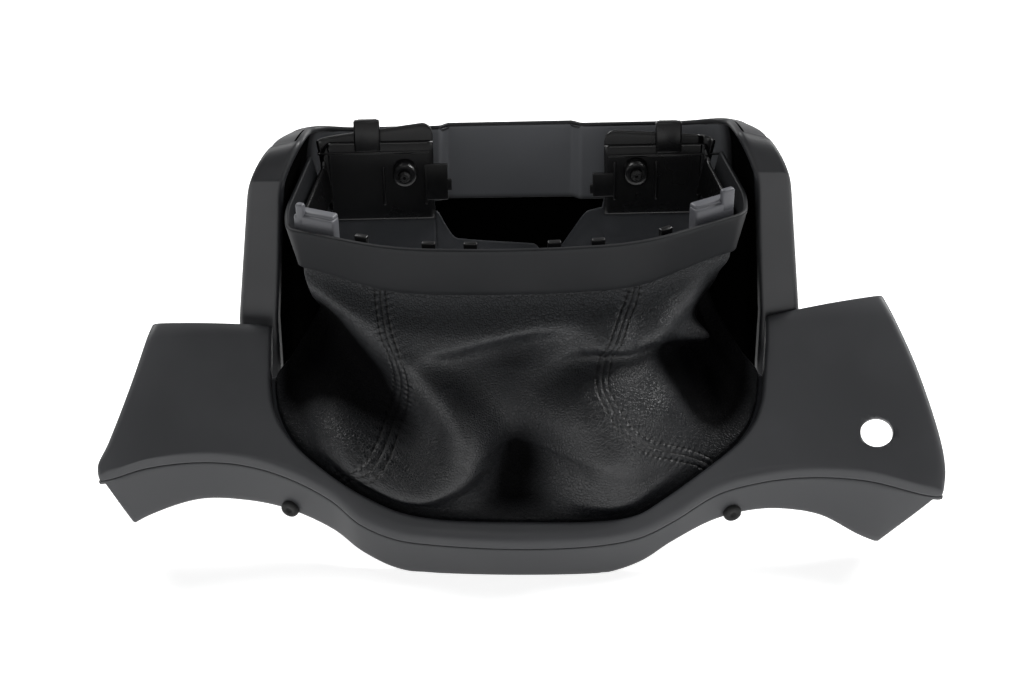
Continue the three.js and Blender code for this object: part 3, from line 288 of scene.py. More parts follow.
# A link into one of the shader's sockets
def plug(material, socket, shader, name):
    material.node_tree.links.new(socket, shader.inputs[name])


# How much smoother and rougher a surface gets from place to place, about its own roughness
glossSpread = (-0.04, 0.05)
mouldedFinish = {"ior": 1.49, "patch": 42.0, "detail": 3.0, "grainRoughness": 0.6, "grainStrength": 0.8}


# Moulded plastic: a fine etched grain, slow changes of gloss where hands and cloths have been, and faint dust
def mouldedPlastic(name, colour, dusty, roughness, grain=0.55, depth=0.035, specular=0.5):
    material, shader = newMaterial(name, colour, roughness, mouldedFinish["ior"])
    shader.inputs["Specular IOR Level"].default_value = specular
    fine = noiseOf(material, grain, mouldedFinish["detail"], mouldedFinish["grainRoughness"])
    slow = noiseOf(material, mouldedFinish["patch"], mouldedFinish["detail"])
    normal = bumpOf(material, fine.outputs["Fac"], depth, mouldedFinish["grainStrength"])
    plug(material, normal, shader, "Normal")
    smooth, rough = (roughness + change for change in glossSpread)
    plug(material, ramp(material, slow.outputs["Fac"], 0.35, 0.65, smooth, rough), shader, "Roughness")
    dust = ramp(material, slow.outputs["Fac"], 0.45, 0.75, 0.0, 1.0)
    plug(material, colourBetween(material, dust, colour, dusty), shader, "Base Color")
    return material


# One operation of arithmetic on sockets or numbers
def calculate(material, operation, first, second=None):
    node = addNode(material, "ShaderNodeMath", operation=operation)
    for index, value in enumerate((first, second)):
        if isinstance(value, (int, float)):
            node.inputs[index].default_value = value
        elif value is not None:
            material.node_tree.links.new(value, node.inputs[index])
    return node.outputs[0]


# A smooth line through stops of [place, value]
def gradient(material, socket, stops):
    node = addNode(material, "ShaderNodeValToRGB", links={"Fac": socket})
    node.color_ramp.interpolation = "B_SPLINE"
    elements = node.color_ramp.elements
    for place, value in stops[1:-1]:
        elements.new(place).color = [value] * 3 + [1]
    elements[0].position, elements[0].color = stops[0][0], [stops[0][1]] * 3 + [1]
    elements[-1].position, elements[-1].color = stops[-1][0], [stops[-1][1]] * 3 + [1]
    return node.outputs["Color"]


# Millimetres for sizes and depths; bendScale and bendShare sway the grain by a fraction of a pebble.
# joinProfile and rowNearness have stops of [distance from the join over joinReach, value]
leatherFinish = {
    "bendScale": 450.0, "bendShare": 0.0012, "pebble": 1.25, "pebbleRound": 0.22, "pebbleDepth": 0.15,
    "crease": 0.6, "creaseRound": 0.2, "creaseDepth": 0.03, "stitch": 3.2, "puckerDepth": 0.22,
    "joinReach": 8.0, "joinDepth": 0.9, "patch": 18.0, "dullBy": 0.16, "specularDeep": 0.03, "specularRaised": 0.5,
    "joinProfile": [
        (0.0, 0.0), (0.05, 0.5), (0.13, 0.8), (0.22, 0.7), (0.28, 0.05), (0.31, 0.05), (0.37, 0.7), (0.6, 0.55),
        (1.0, 0.5),
    ],
    "rowNearness": [(0.0, 0.1), (0.15, 0.3), (0.29, 1.0), (0.45, 0.35), (0.9, 0.0)],
}


# Black automotive leather, dressed and embossed: pebbled grain of about 1 mm with fine creases, rougher where it lies
# deep in a fold. Painted shade there: a darker colour and weaker reflections; painted light towards the ring: a paler
# colour. Along a seam the join is a groove, a stitched row lies about 2.3 mm to each side, and the leather puckers in
# a sine wave along the rows
def leatherSkin(name, colour, paintedLight, dark, roughness):
    finish = leatherFinish
    material, shader = newMaterial(name, colour, roughness)

    def read(attribute):
        return addNode(material, "ShaderNodeAttribute", attribute_name=attribute).outputs["Fac"]

    at = addNode(material, "ShaderNodeTexCoord").outputs["Object"]
    bend = addNode(material, "ShaderNodeTexNoise", {"Scale": finish["bendScale"], "Detail": 2.0}, {"Vector": at})
    warp = addNode(material, "ShaderNodeMix", {"Factor": finish["bendShare"]}, data_type="VECTOR")
    material.node_tree.links.new(at, warp.inputs[vectorSockets[0]])
    material.node_tree.links.new(bend.outputs["Color"], warp.inputs[vectorSockets[1]])
    pebbles, small = (
        addNode(material, "ShaderNodeTexVoronoi", {"Scale": 1000 / finish[size]},
                {"Vector": warp.outputs[vectorSockets[2]]}, feature="DISTANCE_TO_EDGE")
        for size in ("pebble", "crease")
    )
    rounded = ramp(material, pebbles.outputs["Distance"], 0.0, finish["pebbleRound"], 0.0, 1.0)
    fine = ramp(material, small.outputs["Distance"], 0.0, finish["creaseRound"], 0.0, 1.0)
    gap = calculate(material, "DIVIDE", calculate(material, "ABSOLUTE", read("seam_across")), finish["joinReach"])
    profile = gradient(material, gap, finish["joinProfile"])
    turns = calculate(material, "MULTIPLY", read("seam_along"), 2 * math.pi / finish["stitch"])
    nearRow = gradient(material, gap, finish["rowNearness"])
    pucker = calculate(material, "MULTIPLY", calculate(material, "SINE", turns), nearRow)
    normal = bumpOf(material, profile, finish["joinDepth"])
    normal = bumpOf(material, pucker, finish["puckerDepth"], before=normal)
    normal = bumpOf(material, rounded, finish["pebbleDepth"], 0.9, normal)
    plug(material, bumpOf(material, fine, finish["creaseDepth"], 0.7, normal), shader, "Normal")
    raised = read("raised")
    slow = noiseOf(material, finish["patch"])
    spread = ramp(material, slow.outputs["Fac"], 0.3, 0.7, *glossSpread)
    base = ramp(material, raised, 0.0, 1.0, roughness + finish["dullBy"], roughness)
    plug(material, calculate(material, "ADD", base, spread), shader, "Roughness")
    # Painted shade: weaker reflections where the leather lies deep in a fold
    specular = ramp(material, raised, 0.0, 1.0, finish["specularDeep"], finish["specularRaised"])
    plug(material, specular, shader, "Specular IOR Level")
    # Darker along the grain's edges and in the seam's groove and rows, and painted shade deep in the folds
    inGrain = ramp(material, pebbles.outputs["Distance"], 0.0, 0.1, 1.0, 0.0)
    inSeam = ramp(material, profile, 0.1, 0.5, 1.0, 0.0)
    deep = ramp(material, raised, 0.0, 0.7, 1.0, 0.0)
    hidden = calculate(material, "MAXIMUM", calculate(material, "MAXIMUM", inGrain, inSeam), deep)
    # Painted light: a paler colour towards the ring
    lit = colourBetween(material, read("near_ring"), colour, paintedLight)
    plug(material, colourBetween(material, hidden, lit, dark), shader, "Base Color")
    return material


# The hood's inner faces, by its attribute paleness: 0 is painted shade, black and without reflections, 0.5 as moulded,
# 1 painted light, pale
def shadeInside(material, black, pale):
    shader = next(n for n in material.node_tree.nodes if n.bl_idname == "ShaderNodeBsdfPrincipled")
    paleness = addNode(material, "ShaderNodeAttribute", attribute_name="paleness").outputs["Fac"]
    moulded = shader.inputs["Base Color"].links[0].from_socket
    # Painted light: pale towards 1
    paintedPale = colourBetween(material, ramp(material, paleness, 0.5, 1.0, 0.0, 1.0), moulded, pale)
    # Painted shade: black towards 0
    shaded = colourBetween(material, ramp(material, paleness, 0.0, 0.5, 1.0, 0.0), paintedPale, black)
    plug(material, shaded, shader, "Base Color")
    # Painted shade: no reflections towards 0
    plug(material, ramp(material, paleness, 0.0, 0.5, 0.0, 0.5), shader, "Specular IOR Level")


# Polypropylene moulded against an etched tool: dark grey, matt and evenly grained
shellPlastic = mouldedPlastic("shell_plastic", "37383b", "3f4043", 0.5, specular=0.65)
# The same for the hood, a darker and slightly smoother moulding
hoodPlastic = mouldedPlastic("hood_plastic", "202124", "28292b", 0.48)
# Its inner faces get painted shade, black 060606, inside the tunnel, and painted light, pale 74767a, on the rear wall
# above its sill
shadeInside(hoodPlastic, "060606", "74767a")
# ABS for the ring's band: near black and silky, with few reflections
bandPlastic = mouldedPlastic("band_plastic", "1d1e20", "242527", 0.5, 0.4, 0.02, 0.2)
# Acetal for the guide blocks: mid grey and slightly waxy
guidePlastic = mouldedPlastic("guide_plastic", "5a5b60", "66676b", 0.44, 0.4, 0.02)
# ABS from a polished tool for the clamp ring: black with clear highlights
glossPlastic = mouldedPlastic("gloss_plastic", "0a0a0b", "141416", 0.3, 0.8, 0.006)
# Leather on the gaiter's outer face: black, with soft highlights on its folds, painted shade deep in them and painted
# light towards the ring
skinLeather = leatherSkin("skin_leather", "111317", "2c2e31", "050506", 0.4)
# Its laminated backing: dull dark grey with a coarse weave-like grain
backLeather = mouldedPlastic("leather_back", "3a3c40", "55575b", 0.6, 1.6, 0.05)
# Moulded EPDM rubber: black and dull
bumperRubber = mouldedPlastic("bumper_rubber", "0b0b0b", "141414", 0.75, 0.7, 0.03)
# Steel screws with a black oxide finish, dull enough to be drawn without metallic reflections
blackSteel = mouldedPlastic("black_steel", "070708", "0c0c0d", 0.6, 0.5, 0.02)
# Zinc-plated steel: light grey metal with blurred reflections and fine handling scratches
platedSteel, platedShader = newMaterial("plated_steel", "a5a7aa", 0.32, metallic=1.0)
scratches = noiseOf(platedSteel, 0.6, 3.0)
plug(platedSteel, bumpOf(platedSteel, scratches.outputs["Fac"], 0.01, 0.6), platedShader, "Normal")
plug(platedSteel, ramp(platedSteel, scratches.outputs["Fac"], 0.3, 0.7, 0.26, 0.4), platedShader, "Roughness")
print("materials made")

# Fascia: one moulding, drawn as its cross-section swept along stations from wing to wing
fascia = {
    "lean": math.radians(48), "foot": 18, "sweepStart": 80, "sweepEnd": 163, "sweepDepth": 20, "wall": 2.5,
    "roll": 4.5, "rollDrop": 4, "rollShort": 1.5, "faceLeast": 0.8, "grooveDepth": 0.9, "grooveHeight": 0.8,
    "grooveStops": [0, 0.3, 0.6, 1], "skirtLean": math.radians(12), "skirtInset": 0.35, "skirtLeast": 1.3,
    "sideEdge": 5, "lip": 6, "lipRound": 1.8, "lipLeast": 0.4, "lipFade": 14, "topRound": 5, "topDrop": 1.6,
    "leftTip": 4, "rightTip": 24,  # stations past which a wing has a plain side edge and no skirt
}
# Under each wing the skirt's hem rises outwards: its height at x, and its slope
leftCut = {"x": 160.2, "z": 37, "slope": 3.08}
rightCut = {"x": 159.2, "z": 32, "slope": 1.63}
wingHole = {"x": 140.7, "v": 50.2, "radius": 6.2, "reach": 20, "sides": 64}

# [outer x, outer v, inner x, inner v, height of the skirt's hem] with v up the leaning face
faceStations = np.array([
    [-148.4, 98.7, -100.6, 92.0, 20],
    [-154.5, 72.0, -100.2, 76.0, 18],
    [-160.5, 50.0, -99.8, 66.5, 16],
    [-163.4, 41.5, -99.0, 60.5, 14],
    [-162.2, 38.0, -98.4, 57.5, 13],
    [-158.2, 37.6, -97.6, 55.0, 13],
    [-147.0, 39.2, -96.0, 50.8, 17],
    [-128.0, 38.7, -93.0, 45.3, 21.3],
    [-110.0, 35.6, -88.3, 39.2, 20.0],
    [-93.3, 29.8, -82.0, 33.3, 17.6],
    [-74.1, 19.6, -69.0, 23.4, 12.3],
    [-62.0, 9.6, -57.5, 16.8, 6.7],
    [-48.0, 3.6, -46.0, 11.8, 1.6],
    [-32.0, 1.3, -31.0, 9.0, 0],
    [0, -0.3, 0, 8.0, 0],
    [31.0, 1.1, 31.0, 8.3, 0],
    [47.5, 4.5, 46.0, 10.8, 4.4],
    [60.8, 11.2, 57.5, 17.8, 11.3],
    [77.9, 21.8, 72.0, 28.4, 16.2],
    [95.0, 27.2, 83.0, 37.0, 18.7],
    [108.0, 29.9, 88.0, 41.8, 18.3],
    [121.0, 31.6, 91.4, 46.2, 15.8],
    [137.9, 32.4, 94.4, 51.5, 7.3],
    [158.2, 30.9, 96.0, 56.0, 4],
    [163.0, 32.0, 96.9, 59.0, 4],
    [164.6, 36.0, 97.6, 62.5, 4],
    [165.0, 48.0, 98.4, 69.0, 6],
    [158.5, 81.0, 99.8, 82.0, 8],
    [148.3, 111.4, 100.8, 96.2, 10],
])
lastStation = len(faceStations) - 1
faceNormal = np.array([0, -math.cos(fascia["lean"]), math.sin(fascia["lean"])])


# A point of the face n in front of it: y = v sin(lean) less the wings' sweep, z = foot + v cos(lean)
def facePoint(x, v, n=0.0):
    outside = np.maximum(0, np.abs(x) - fascia["sweepStart"]) / (fascia["sweepEnd"] - fascia["sweepStart"])
    y = v * math.sin(fascia["lean"]) - fascia["sweepDepth"] * outside ** 2
    z = fascia["foot"] + v * math.cos(fascia["lean"])
    return vec(x, y, z) + np.asarray(n)[..., None] * faceNormal


# The face's outer and inner edges at stations, the way from inner to outer, and how far apart they are
def faceEdges(stations):
    outer = curveThrough(faceStations[:, [0, 1, 4]], stations)
    inner = curveThrough(np.c_[faceStations[:, 2:4], np.zeros(len(faceStations))], stations)
    across = outer[..., :2] - inner[..., :2]
    width = np.linalg.norm(across, axis=-1)
    return outer, inner, across / width[..., None], width


# The fascia's outer face. Its rows run 0-1 down the lip (straight), 1-2 round it (t squared out, (1 - t) squared in),
# 2-3 over the face (straight), 3-4 round the rolled edge (a quadratic curve), 4-5 through the groove and 5-6 down
# the skirt; near the two upper ends everything drops by a square law
def fasciaGrid(stations, rows):
    s, v = np.meshgrid(stations, rows, indexing="ij")
    outer, inner, across, width = faceEdges(s)
    lower = np.minimum(limit(s - fascia["leftTip"] + 1), limit(fascia["rightTip"] + 1 - s))[..., None]
    corner = facePoint(outer[..., 0], outer[..., 1])
    cutHeights = [cut["z"] - cut["slope"] * (cut["x"] - np.abs(outer[..., 0])) for cut in (leftCut, rightCut)]
    cutHeight = np.where(outer[..., 0] < 0, *cutHeights)
    groove = corner[..., 2] - fascia["rollDrop"]
    hem = np.minimum(np.maximum(np.maximum(outer[..., 2], cutHeight), 0), groove - fascia["skirtLeast"])
    # The lip grows with the distance below each upper end; 9 keeps the other side's end out of it
    gapLeft = (faceStations[0, 3] - inner[..., 1]) * np.where(inner[..., 0] < 0, 1, 9)
    gapRight = (faceStations[-1, 3] - inner[..., 1]) * np.where(inner[..., 0] > 0, 1, 9)
    grown = ease(np.minimum(gapLeft, gapRight) / fascia["lipFade"])
    lip = mix(fascia["lipRound"] + fascia["lipLeast"], fascia["lip"], grown)
    roll = np.minimum(fascia["roll"], width - fascia["lipRound"] - fascia["faceLeast"])
    leanSin, leanCos = math.sin(fascia["skirtLean"]), math.cos(fascia["skirtLean"])
    edgeWay = unit(mix(-faceNormal, np.array([0, leanSin, -leanCos]), lower))
    inwards = np.array([0, leanCos, 0]) * lower
    skirtLength = mix(fascia["sideEdge"], (corner[..., 2] - hem) / leanCos, lower[..., 0])
    rollEnd = mix(fascia["sideEdge"] - fascia["rollShort"], fascia["rollDrop"], lower[..., 0])[..., None]

    def onFace(distance, n=0.0):
        x, y = (inner[..., k] + across[..., k] * distance for k in (0, 1))
        return facePoint(x, y, n)

    t = limit(v - 1)
    lipPoint = onFace(0, mix(-lip, -fascia["lipRound"], v))
    roundPoint = onFace(fascia["lipRound"] * t * t, -fascia["lipRound"] * (1 - t) ** 2)
    facePart = onFace(mix(fascia["lipRound"], width - roll, limit(v - 2)))
    t = limit(v - 3)[..., None]
    start = onFace(width - roll)
    rollPoint = start * (1 - t) ** 2 + corner * 2 * t * (1 - t) + (corner + edgeWay * rollEnd) * t * t
    g = limit(v - 4)[..., None]
    depths = [0, fascia["grooveDepth"], fascia["grooveDepth"], fascia["skirtInset"]]
    notch = np.interp(g[..., 0], fascia["grooveStops"], depths)
    groovePoint = corner + edgeWay * (rollEnd + fascia["grooveHeight"] * g) + inwards * notch[..., None]
    k = limit(v - 5)[..., None]
    skirtPoint = corner + edgeWay * mix(rollEnd + fascia["grooveHeight"], skirtLength[..., None], k)
    skirtPoint = skirtPoint + inwards * fascia["skirtInset"]
    v = v[..., None]
    point = np.select(
        [v <= 1, v <= 2, v <= 3, v <= 4, v <= 5],
        [lipPoint, roundPoint, facePart, rollPoint, groovePoint],
        skirtPoint,
    )
    ends = [np.hypot(inner[..., 0] - e[2], inner[..., 1] - e[3]) for e in (faceStations[0], faceStations[-1])]
    gap = np.minimum(*ends)
    drop = np.where(gap < fascia["topRound"], fascia["topDrop"] * (1 - gap / fascia["topRound"]) ** 2, 0)
    return point - drop[..., None] * faceNormal


rows = join(
    np.linspace(0, 1, 4), np.linspace(1, 2, 8), np.linspace(2, 3, 22), np.linspace(3, 4, 14),
    np.linspace(4, 5, 9), np.linspace(5, 6, 12),
)[::-1]
stations = join(
    np.linspace(0, 1, 40), np.linspace(1, lastStation - 1, 430), np.linspace(lastStation - 1, lastStation, 40),
)
fasciaShape = closedWall(fasciaGrid(stations, rows), fascia["wall"])
fasciaShape[0][:, 2] = np.maximum(fasciaShape[0][:, 2], 0)  # the hem rests flat on the table
fasciaPiece = meshPiece("fascia_moulding", fasciaShape[0], fasciaShape[1], [shellPlastic])
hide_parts("fascia")

# The wing's hole, cut through the wall
radius, reach = wingHole["radius"], wingHole["reach"]
cutter = turned([[0, -reach], [radius, -reach], [radius, reach], [0, reach]], wingHole["sides"])
turn = Vector((0, 0, 1)).rotation_difference(Vector(faceNormal)).to_matrix()
cutPoints, cutFaces, _ = moved(cutter, turn, facePoint(np.array(wingHole["x"]), np.array(wingHole["v"])))
cutterPiece = meshPiece("hole_cutter", cutPoints, cutFaces, [])
cutterPiece.parent = None
boolean = fasciaPiece.modifiers.new("hole", "BOOLEAN")
boolean.object = cutterPiece
boolean.operation = "DIFFERENCE"
boolean.solver = "EXACT"
bpy.context.view_layer.update()
cutMesh = bpy.data.meshes.new_from_object(fasciaPiece.evaluated_get(bpy.context.evaluated_depsgraph_get()))
fasciaPiece.modifiers.clear()
fasciaPiece.data = cutMesh
bpy.data.objects.remove(cutterPiece)
print("fascia made")

# Hood: pillars, a flange round their front and top, the rear wall and two rear legs
hood = {
    "wall": 2.5, "pillarY": 73.3, "foot": 48, "top": 141, "shoulderTop": 154, "inner": 98.8, "lean": 0.085,
    "leanStart": 80, "shoulderStart": 134, "shoulderIn": 4.5, "flangeFoot": 17.4, "flangeShoulder": 14,
    "flangeRear": 2.4, "lip": 3, "rise": math.radians(1.2), "rearY": 130.5, "rearHalf": 95, "corner": 13,
    "recessHalf": 26, "recessCentre": -4, "recessDepth": 3.5, "recessRamp": 5, "rearTop": 144, "rearSill": 110,
    "rearHem": 60, "rearStep": 6, "stepHeight": 1.5, "legWidth": 16, "legFlare": 5, "sideSill": 44, "edgeRound": 2.2,
    "sillSeam": 0.5, "leanFrom": 30, "leanOver": 40, "roundBack": 10, "frontRise": 0.09, "fallFrom": 0.08,
    "fallOver": 0.42, "flangeWall": 2.2, "outerRound": 2.6, "roundShare": 0.45, "lipLeast": 0.4,
}


# A quadratic curve from a to c with its corner at b
def quadratic(a, b, c, count=24):
    t = np.linspace(0, 1, count)[:, None]
    return np.asarray(a) * (1 - t) ** 2 + np.asarray(b) * 2 * t * (1 - t) + np.asarray(c) * t * t


halfPlan = np.vstack([
    [[-hood["inner"], hood["pillarY"]]],
    quadratic(
        [-hood["rearHalf"], hood["rearY"] - hood["corner"]], [-hood["rearHalf"], hood["rearY"]],
        [-hood["rearHalf"] + hood["corner"], hood["rearY"]],
    ),
])
hoodPlan = np.vstack([halfPlan, halfPlan[::-1] * [-1, 1]])


# How far the sides lean in at a height: straight from leanStart, and by a square law over the shoulder
def hoodLean(z):
    over = np.maximum(0, z - hood["shoulderStart"]) / (hood["shoulderTop"] - hood["shoulderStart"])
    return hood["lean"] * np.maximum(0, z - hood["leanStart"]) + hood["shoulderIn"] * over ** 2


# The top edge's height: a square law from the pillars up to the shoulders, then a soft step down to the rear
def hoodTop(share):
    front = np.minimum(share, 1 - share) * 2
    rise = 1 - (1 - limit(front / hood["frontRise"])) ** 2
    shoulder = mix(hood["top"], hood["shoulderTop"], rise)
    return mix(shoulder, hood["rearTop"], ease((front - hood["fallFrom"]) / hood["fallOver"]))


# A point of the wall's outer face: the plan's line leaned in at the sides, with the rear wall's recess and step
def hoodFace(share, z):
    at = alongLine(hoodPlan, share)
    x, y = at[..., 0], at[..., 1]
    lean = hoodLean(z) * limit((np.abs(x) - hood["leanFrom"]) / hood["leanOver"])
    fromRecess = np.abs(x - hood["recessCentre"]) - hood["recessHalf"]
    recess = hood["recessDepth"] * ease(1 - fromRecess / hood["recessRamp"])
    deep = np.where(np.abs(x) < hood["rearHalf"] - hood["corner"], recess, 0)
    inRear = limit((hood["rearHalf"] - hood["legWidth"] - np.abs(x)) / hood["legFlare"])
    below = ease((hood["rearSill"] - z) / hood["stepHeight"])
    deep = mix(deep, np.maximum(deep, hood["rearStep"]), inRear * below)
    return vec(x - np.sign(x) * lean, y + deep, z)


# The lower edge's height: a soft fall along the sides to the legs' feet, and the rear wall's hem between the legs
def hoodSill(share):
    at = alongLine(hoodPlan, share)
    back = (at[..., 1] - hood["pillarY"]) / (hood["rearY"] - hood["corner"] - hood["pillarY"])
    inside = (hood["rearHalf"] - hood["legWidth"] - np.abs(at[..., 0])) / hood["legFlare"]
    return mix(hood["sideSill"] * (1 - ease(back)), hood["rearHem"], limit(inside))


# The whole hood rises a little towards the right: z grows by x tan(rise) times its share of the height
def risen(points):
    points = points.copy()
    points[..., 2] += points[..., 0] * math.tan(hood["rise"]) * limit(points[..., 2] / hood["rearTop"], 0, 1.2)
    return points


# Rows below the seam fill the height from the hem to it, rows above it the height from it to the top edge
shares = join(np.linspace(0, 0.12, 60), np.linspace(0.12, 0.88, 420), np.linspace(0.88, 1, 60))
seam = hood["rearSill"] + hood["sillSeam"]
levels = join(
    np.linspace(0, hood["rearSill"] - 3, 36), np.linspace(hood["rearSill"] - 3, seam, 12), np.linspace(seam, 160, 24),
)
s, z = np.meshgrid(shares, levels, indexing="ij")
below = mix(hoodSill(s), seam, limit(z / seam))
above = mix(seam, hoodTop(s) - hood["edgeRound"], (z - seam) / (levels[-1] - seam))
wallGrid = hoodFace(s, np.where(z < seam, below, above))
wallGrid[..., 1] += hood["edgeRound"] * limit(1 - (wallGrid[..., 1] - hood["pillarY"]) / hood["roundBack"])
hoodWall = closedWall(risen(wallGrid), hood["wall"])


# Shares of the way from pillar to rear middle; backFrom and backOver are rises
flange = {
    "turnFrom": 0.25, "turnOver": 0.35, "droop": 0.25, "droopOver": 0.1, "narrowFrom": 0.12, "narrowOver": 0.45,
    "backFrom": 0.9, "backOver": 0.2,
}


# The flange's cross-section, from the wall's face round the front edge (steps 0-1, a quarter circle), outwards (1-2),
# round its outer edge (2-3) and back over a lip (3-4). It turns from sideways at the pillars to backwards at the rear,
# and narrows in a soft step; rises run 0-1 up the left pillar, 1-3 over the top and 3-4 down the right one
def flangeGrid(rises, steps):
    rise = np.minimum(rises, 4 - rises)
    side = np.where(rises < 2, -1.0, 1.0)
    s = np.maximum(rise - 1, 0) * 0.5
    share = np.where(rises < 2, s, 1 - s)
    front = s * 2
    zPillar = mix(hood["foot"], hoodTop(0.0), limit(rise))
    pillar = vec(side * (hood["inner"] - hoodLean(zPillar)), hood["pillarY"], zPillar)
    over = hoodFace(share, hoodTop(share))
    line = risen(np.where((rise <= 1)[..., None], pillar, over))
    turn = ease((front - flange["turnFrom"]) / flange["turnOver"]) * math.pi / 2
    droop = -flange["droop"] * limit(front / flange["droopOver"])
    way = unit(vec(side * np.cos(turn), np.sin(turn), droop))
    onPillar = mix(hood["flangeFoot"], hood["flangeShoulder"], limit(rise))
    narrowed = ease((front - flange["narrowFrom"]) / flange["narrowOver"])
    width = np.where(rise <= 1, onPillar, mix(hood["flangeShoulder"], hood["flangeRear"], narrowed))
    over = limit((rise - flange["backFrom"]) / flange["backOver"])
    back = unit(vec(0, 1 - over, -over))
    lip = mix(hood["lipLeast"], hood["lip"], limit((width - 2 * hood["wall"] - 1) / 4))
    inRound = np.minimum(hood["edgeRound"], width * hood["roundShare"])
    outRound = np.minimum(hood["outerRound"], width * hood["roundShare"])
    points = []
    for step in steps:
        if step <= 1:
            a = step * math.pi / 2
            out, behind = inRound * (1 - math.cos(a)), inRound * (1 - math.sin(a))
        elif step <= 2:
            out, behind = mix(inRound, width - outRound, step - 1), np.zeros_like(width)
        elif step <= 3:
            a = (step - 2) * math.pi / 2
            out, behind = width - outRound * (1 - math.sin(a)), outRound * (1 - math.cos(a))
        else:
            out, behind = width, outRound + lip * (step - 3)
        points.append(line + way * np.asarray(out)[..., None] + back * np.asarray(behind)[..., None])
    return np.stack(points, 1)


rises = join(np.linspace(0, 0.85, 60), np.linspace(0.85, 1.3, 110), np.linspace(1.3, 2, 80))
rises = join(rises, 4 - rises)
steps = join(np.linspace(0, 1, 8), np.linspace(1, 2, 8), np.linspace(2, 3, 8), [3.5, 4])
hoodFlange = closedWall(flangeGrid(rises, steps), hood["flangeWall"])
hoodPoints, hoodFaces, _ = joined([hoodWall, hoodFlange])
hoodPoints[:, 2] = np.maximum(hoodPoints[:, 2], 0)  # the legs rest flat on the table
hoodPiece = meshPiece("hood_moulding", hoodPoints, hoodFaces, [hoodPlastic])

# The wall's inner face: as moulded at the pillars' edges, painted light (pale) on the rear wall above its sill,
# painted shade (black) between them, inside the tunnel.
# Each is [how far it reaches past its edge, how soon it fades]; 0.5 is the colour as moulded
paleAt = {"front": [5, 4], "rear": [8, 6], "sill": [1, 2], "moulded": 0.5}
inFront = limit((hood["pillarY"] + paleAt["front"][0] - wallGrid[..., 1]) / paleAt["front"][1])
inRear = limit((wallGrid[..., 1] - hood["rearY"] + paleAt["rear"][0]) / paleAt["rear"][1])
aboveSill = limit((wallGrid[..., 2] - hood["rearSill"] + paleAt["sill"][0]) / paleAt["sill"][1])
inside = np.maximum(paleAt["moulded"] * inFront, inRear * aboveSill)
values = wallValues(inside, other=np.full(inside.shape, paleAt["moulded"]))
onFlange = np.full(len(hoodPoints) - len(values), paleAt["moulded"])
giveValues(hoodPiece, "paleness", np.concatenate([values, onFlange]))
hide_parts("hood")
print("hood made")

# Ring: a band outside, the gaiter's hem in it, and a glossy clamp ring inside
ring = {
    "place": np.array([0.0, 26, 128]), "tilt": math.radians(6.8), "yaw": math.radians(1.2), "roll": math.radians(0.8),
    "height": 18, "wall": 1.8, "taper": math.radians(12), "leather": 1.2, "clearance": 0.3, "rimGap": 0.5,
    "bandStart": 0.135, "bandNext": 0.14, "bandSag": 4, "sagReach": 90, "sagFade": 45,
    "plateDrop": 28, "sideDrop": 5, "frontDrop": 9, "plateEnd": 0.105, "frontStart": 0.235, "shareFade": 0.03,
}
# The ring's outline seen from above: [x, y, how much its corner is rounded]
ringCorners = [
    [-34, 94, 0], [-85, 94, 9], [-91.5, 38, 8], [-89.5, 22, 5], [-48, 3.5, 16], [0, 0, 26],
    [46, 3.5, 16], [89.5, 27, 5], [91.5, 42, 8], [85, 94, 9], [37.5, 94, 0],
]
cx, cy, cz = (math.cos(a) for a in (ring["tilt"], -ring["roll"], ring["yaw"]))
sx, sy, sz = (math.sin(a) for a in (ring["tilt"], -ring["roll"], ring["yaw"]))
turnX = np.array([[1, 0, 0], [0, cx, -sx], [0, sx, cx]])
turnY = np.array([[cy, 0, sy], [0, 1, 0], [-sy, 0, cy]])
turnZ = np.array([[cz, -sz, 0], [sz, cz, 0], [0, 0, 1]])
ringTurn = turnX @ turnY @ turnZ


# The corners joined by lines, each corner rounded by a quadratic curve
def roundedTrack(corners, cornerSteps=14, lineSteps=10):
    points = np.array([c[:2] for c in corners], float)
    at, way = [], []
    start = points[0]
    for i in range(1, len(points)):
        before = unit(points[i] - points[i - 1])
        isEnd = i == len(points) - 1
        to = points[i] - before * (0 if isEnd else corners[i][2])
        for t in np.linspace(0, 1, lineSteps + 1)[1 if at else 0:]:
            at.append(mix(start, to, t))
            way.append(before)
        if isEnd:
            break
        out = points[i] + unit(points[i + 1] - points[i]) * corners[i][2]
        for t in np.linspace(0, 1, cornerSteps + 1)[1:]:
            a, b = mix(to, points[i], t), mix(points[i], out, t)
            at.append(mix(a, b, t))
            way.append(unit(b - a))
        start = out
    at, way = np.array(at), np.array(way)
    run = np.r_[0, np.cumsum(np.linalg.norm(np.diff(at, axis=0), axis=1))]
    return at, np.c_[-way[:, 1], way[:, 0]], run / run[-1], run[-1]


trackAt, trackIn, trackShare, trackLength = roundedTrack(ringCorners)


# A point of the ring at a share of its length: the outline moved inwards by inside less rise tan(taper),
# at the height rise above the rim
def ringPoint(share, inside, rise):
    share, inside, rise = np.broadcast_arrays(*(np.asarray(a, float) for a in (share, inside, rise)))
    at = np.stack([np.interp(share, trackShare, trackAt[:, k]) for k in (0, 1)], -1)
    inwards = unit(np.stack([np.interp(share, trackShare, trackIn[:, k]) for k in (0, 1)], -1))
    offset = inside - rise * math.tan(ring["taper"])
    plan = at + inwards * offset[..., None]
    return vec(plan[..., 0], plan[..., 1], rise)


# Points drawn level, turned and moved to where the ring sits
def inRing(points):
    return points @ ringTurn.T + ring["place"]


# 1 on the rear plates, falling straight to 0 past their ends
def onPlate(share):
    return 1 - limit((np.minimum(share, 1 - share) - ring["plateEnd"]) / ring["shareFade"])


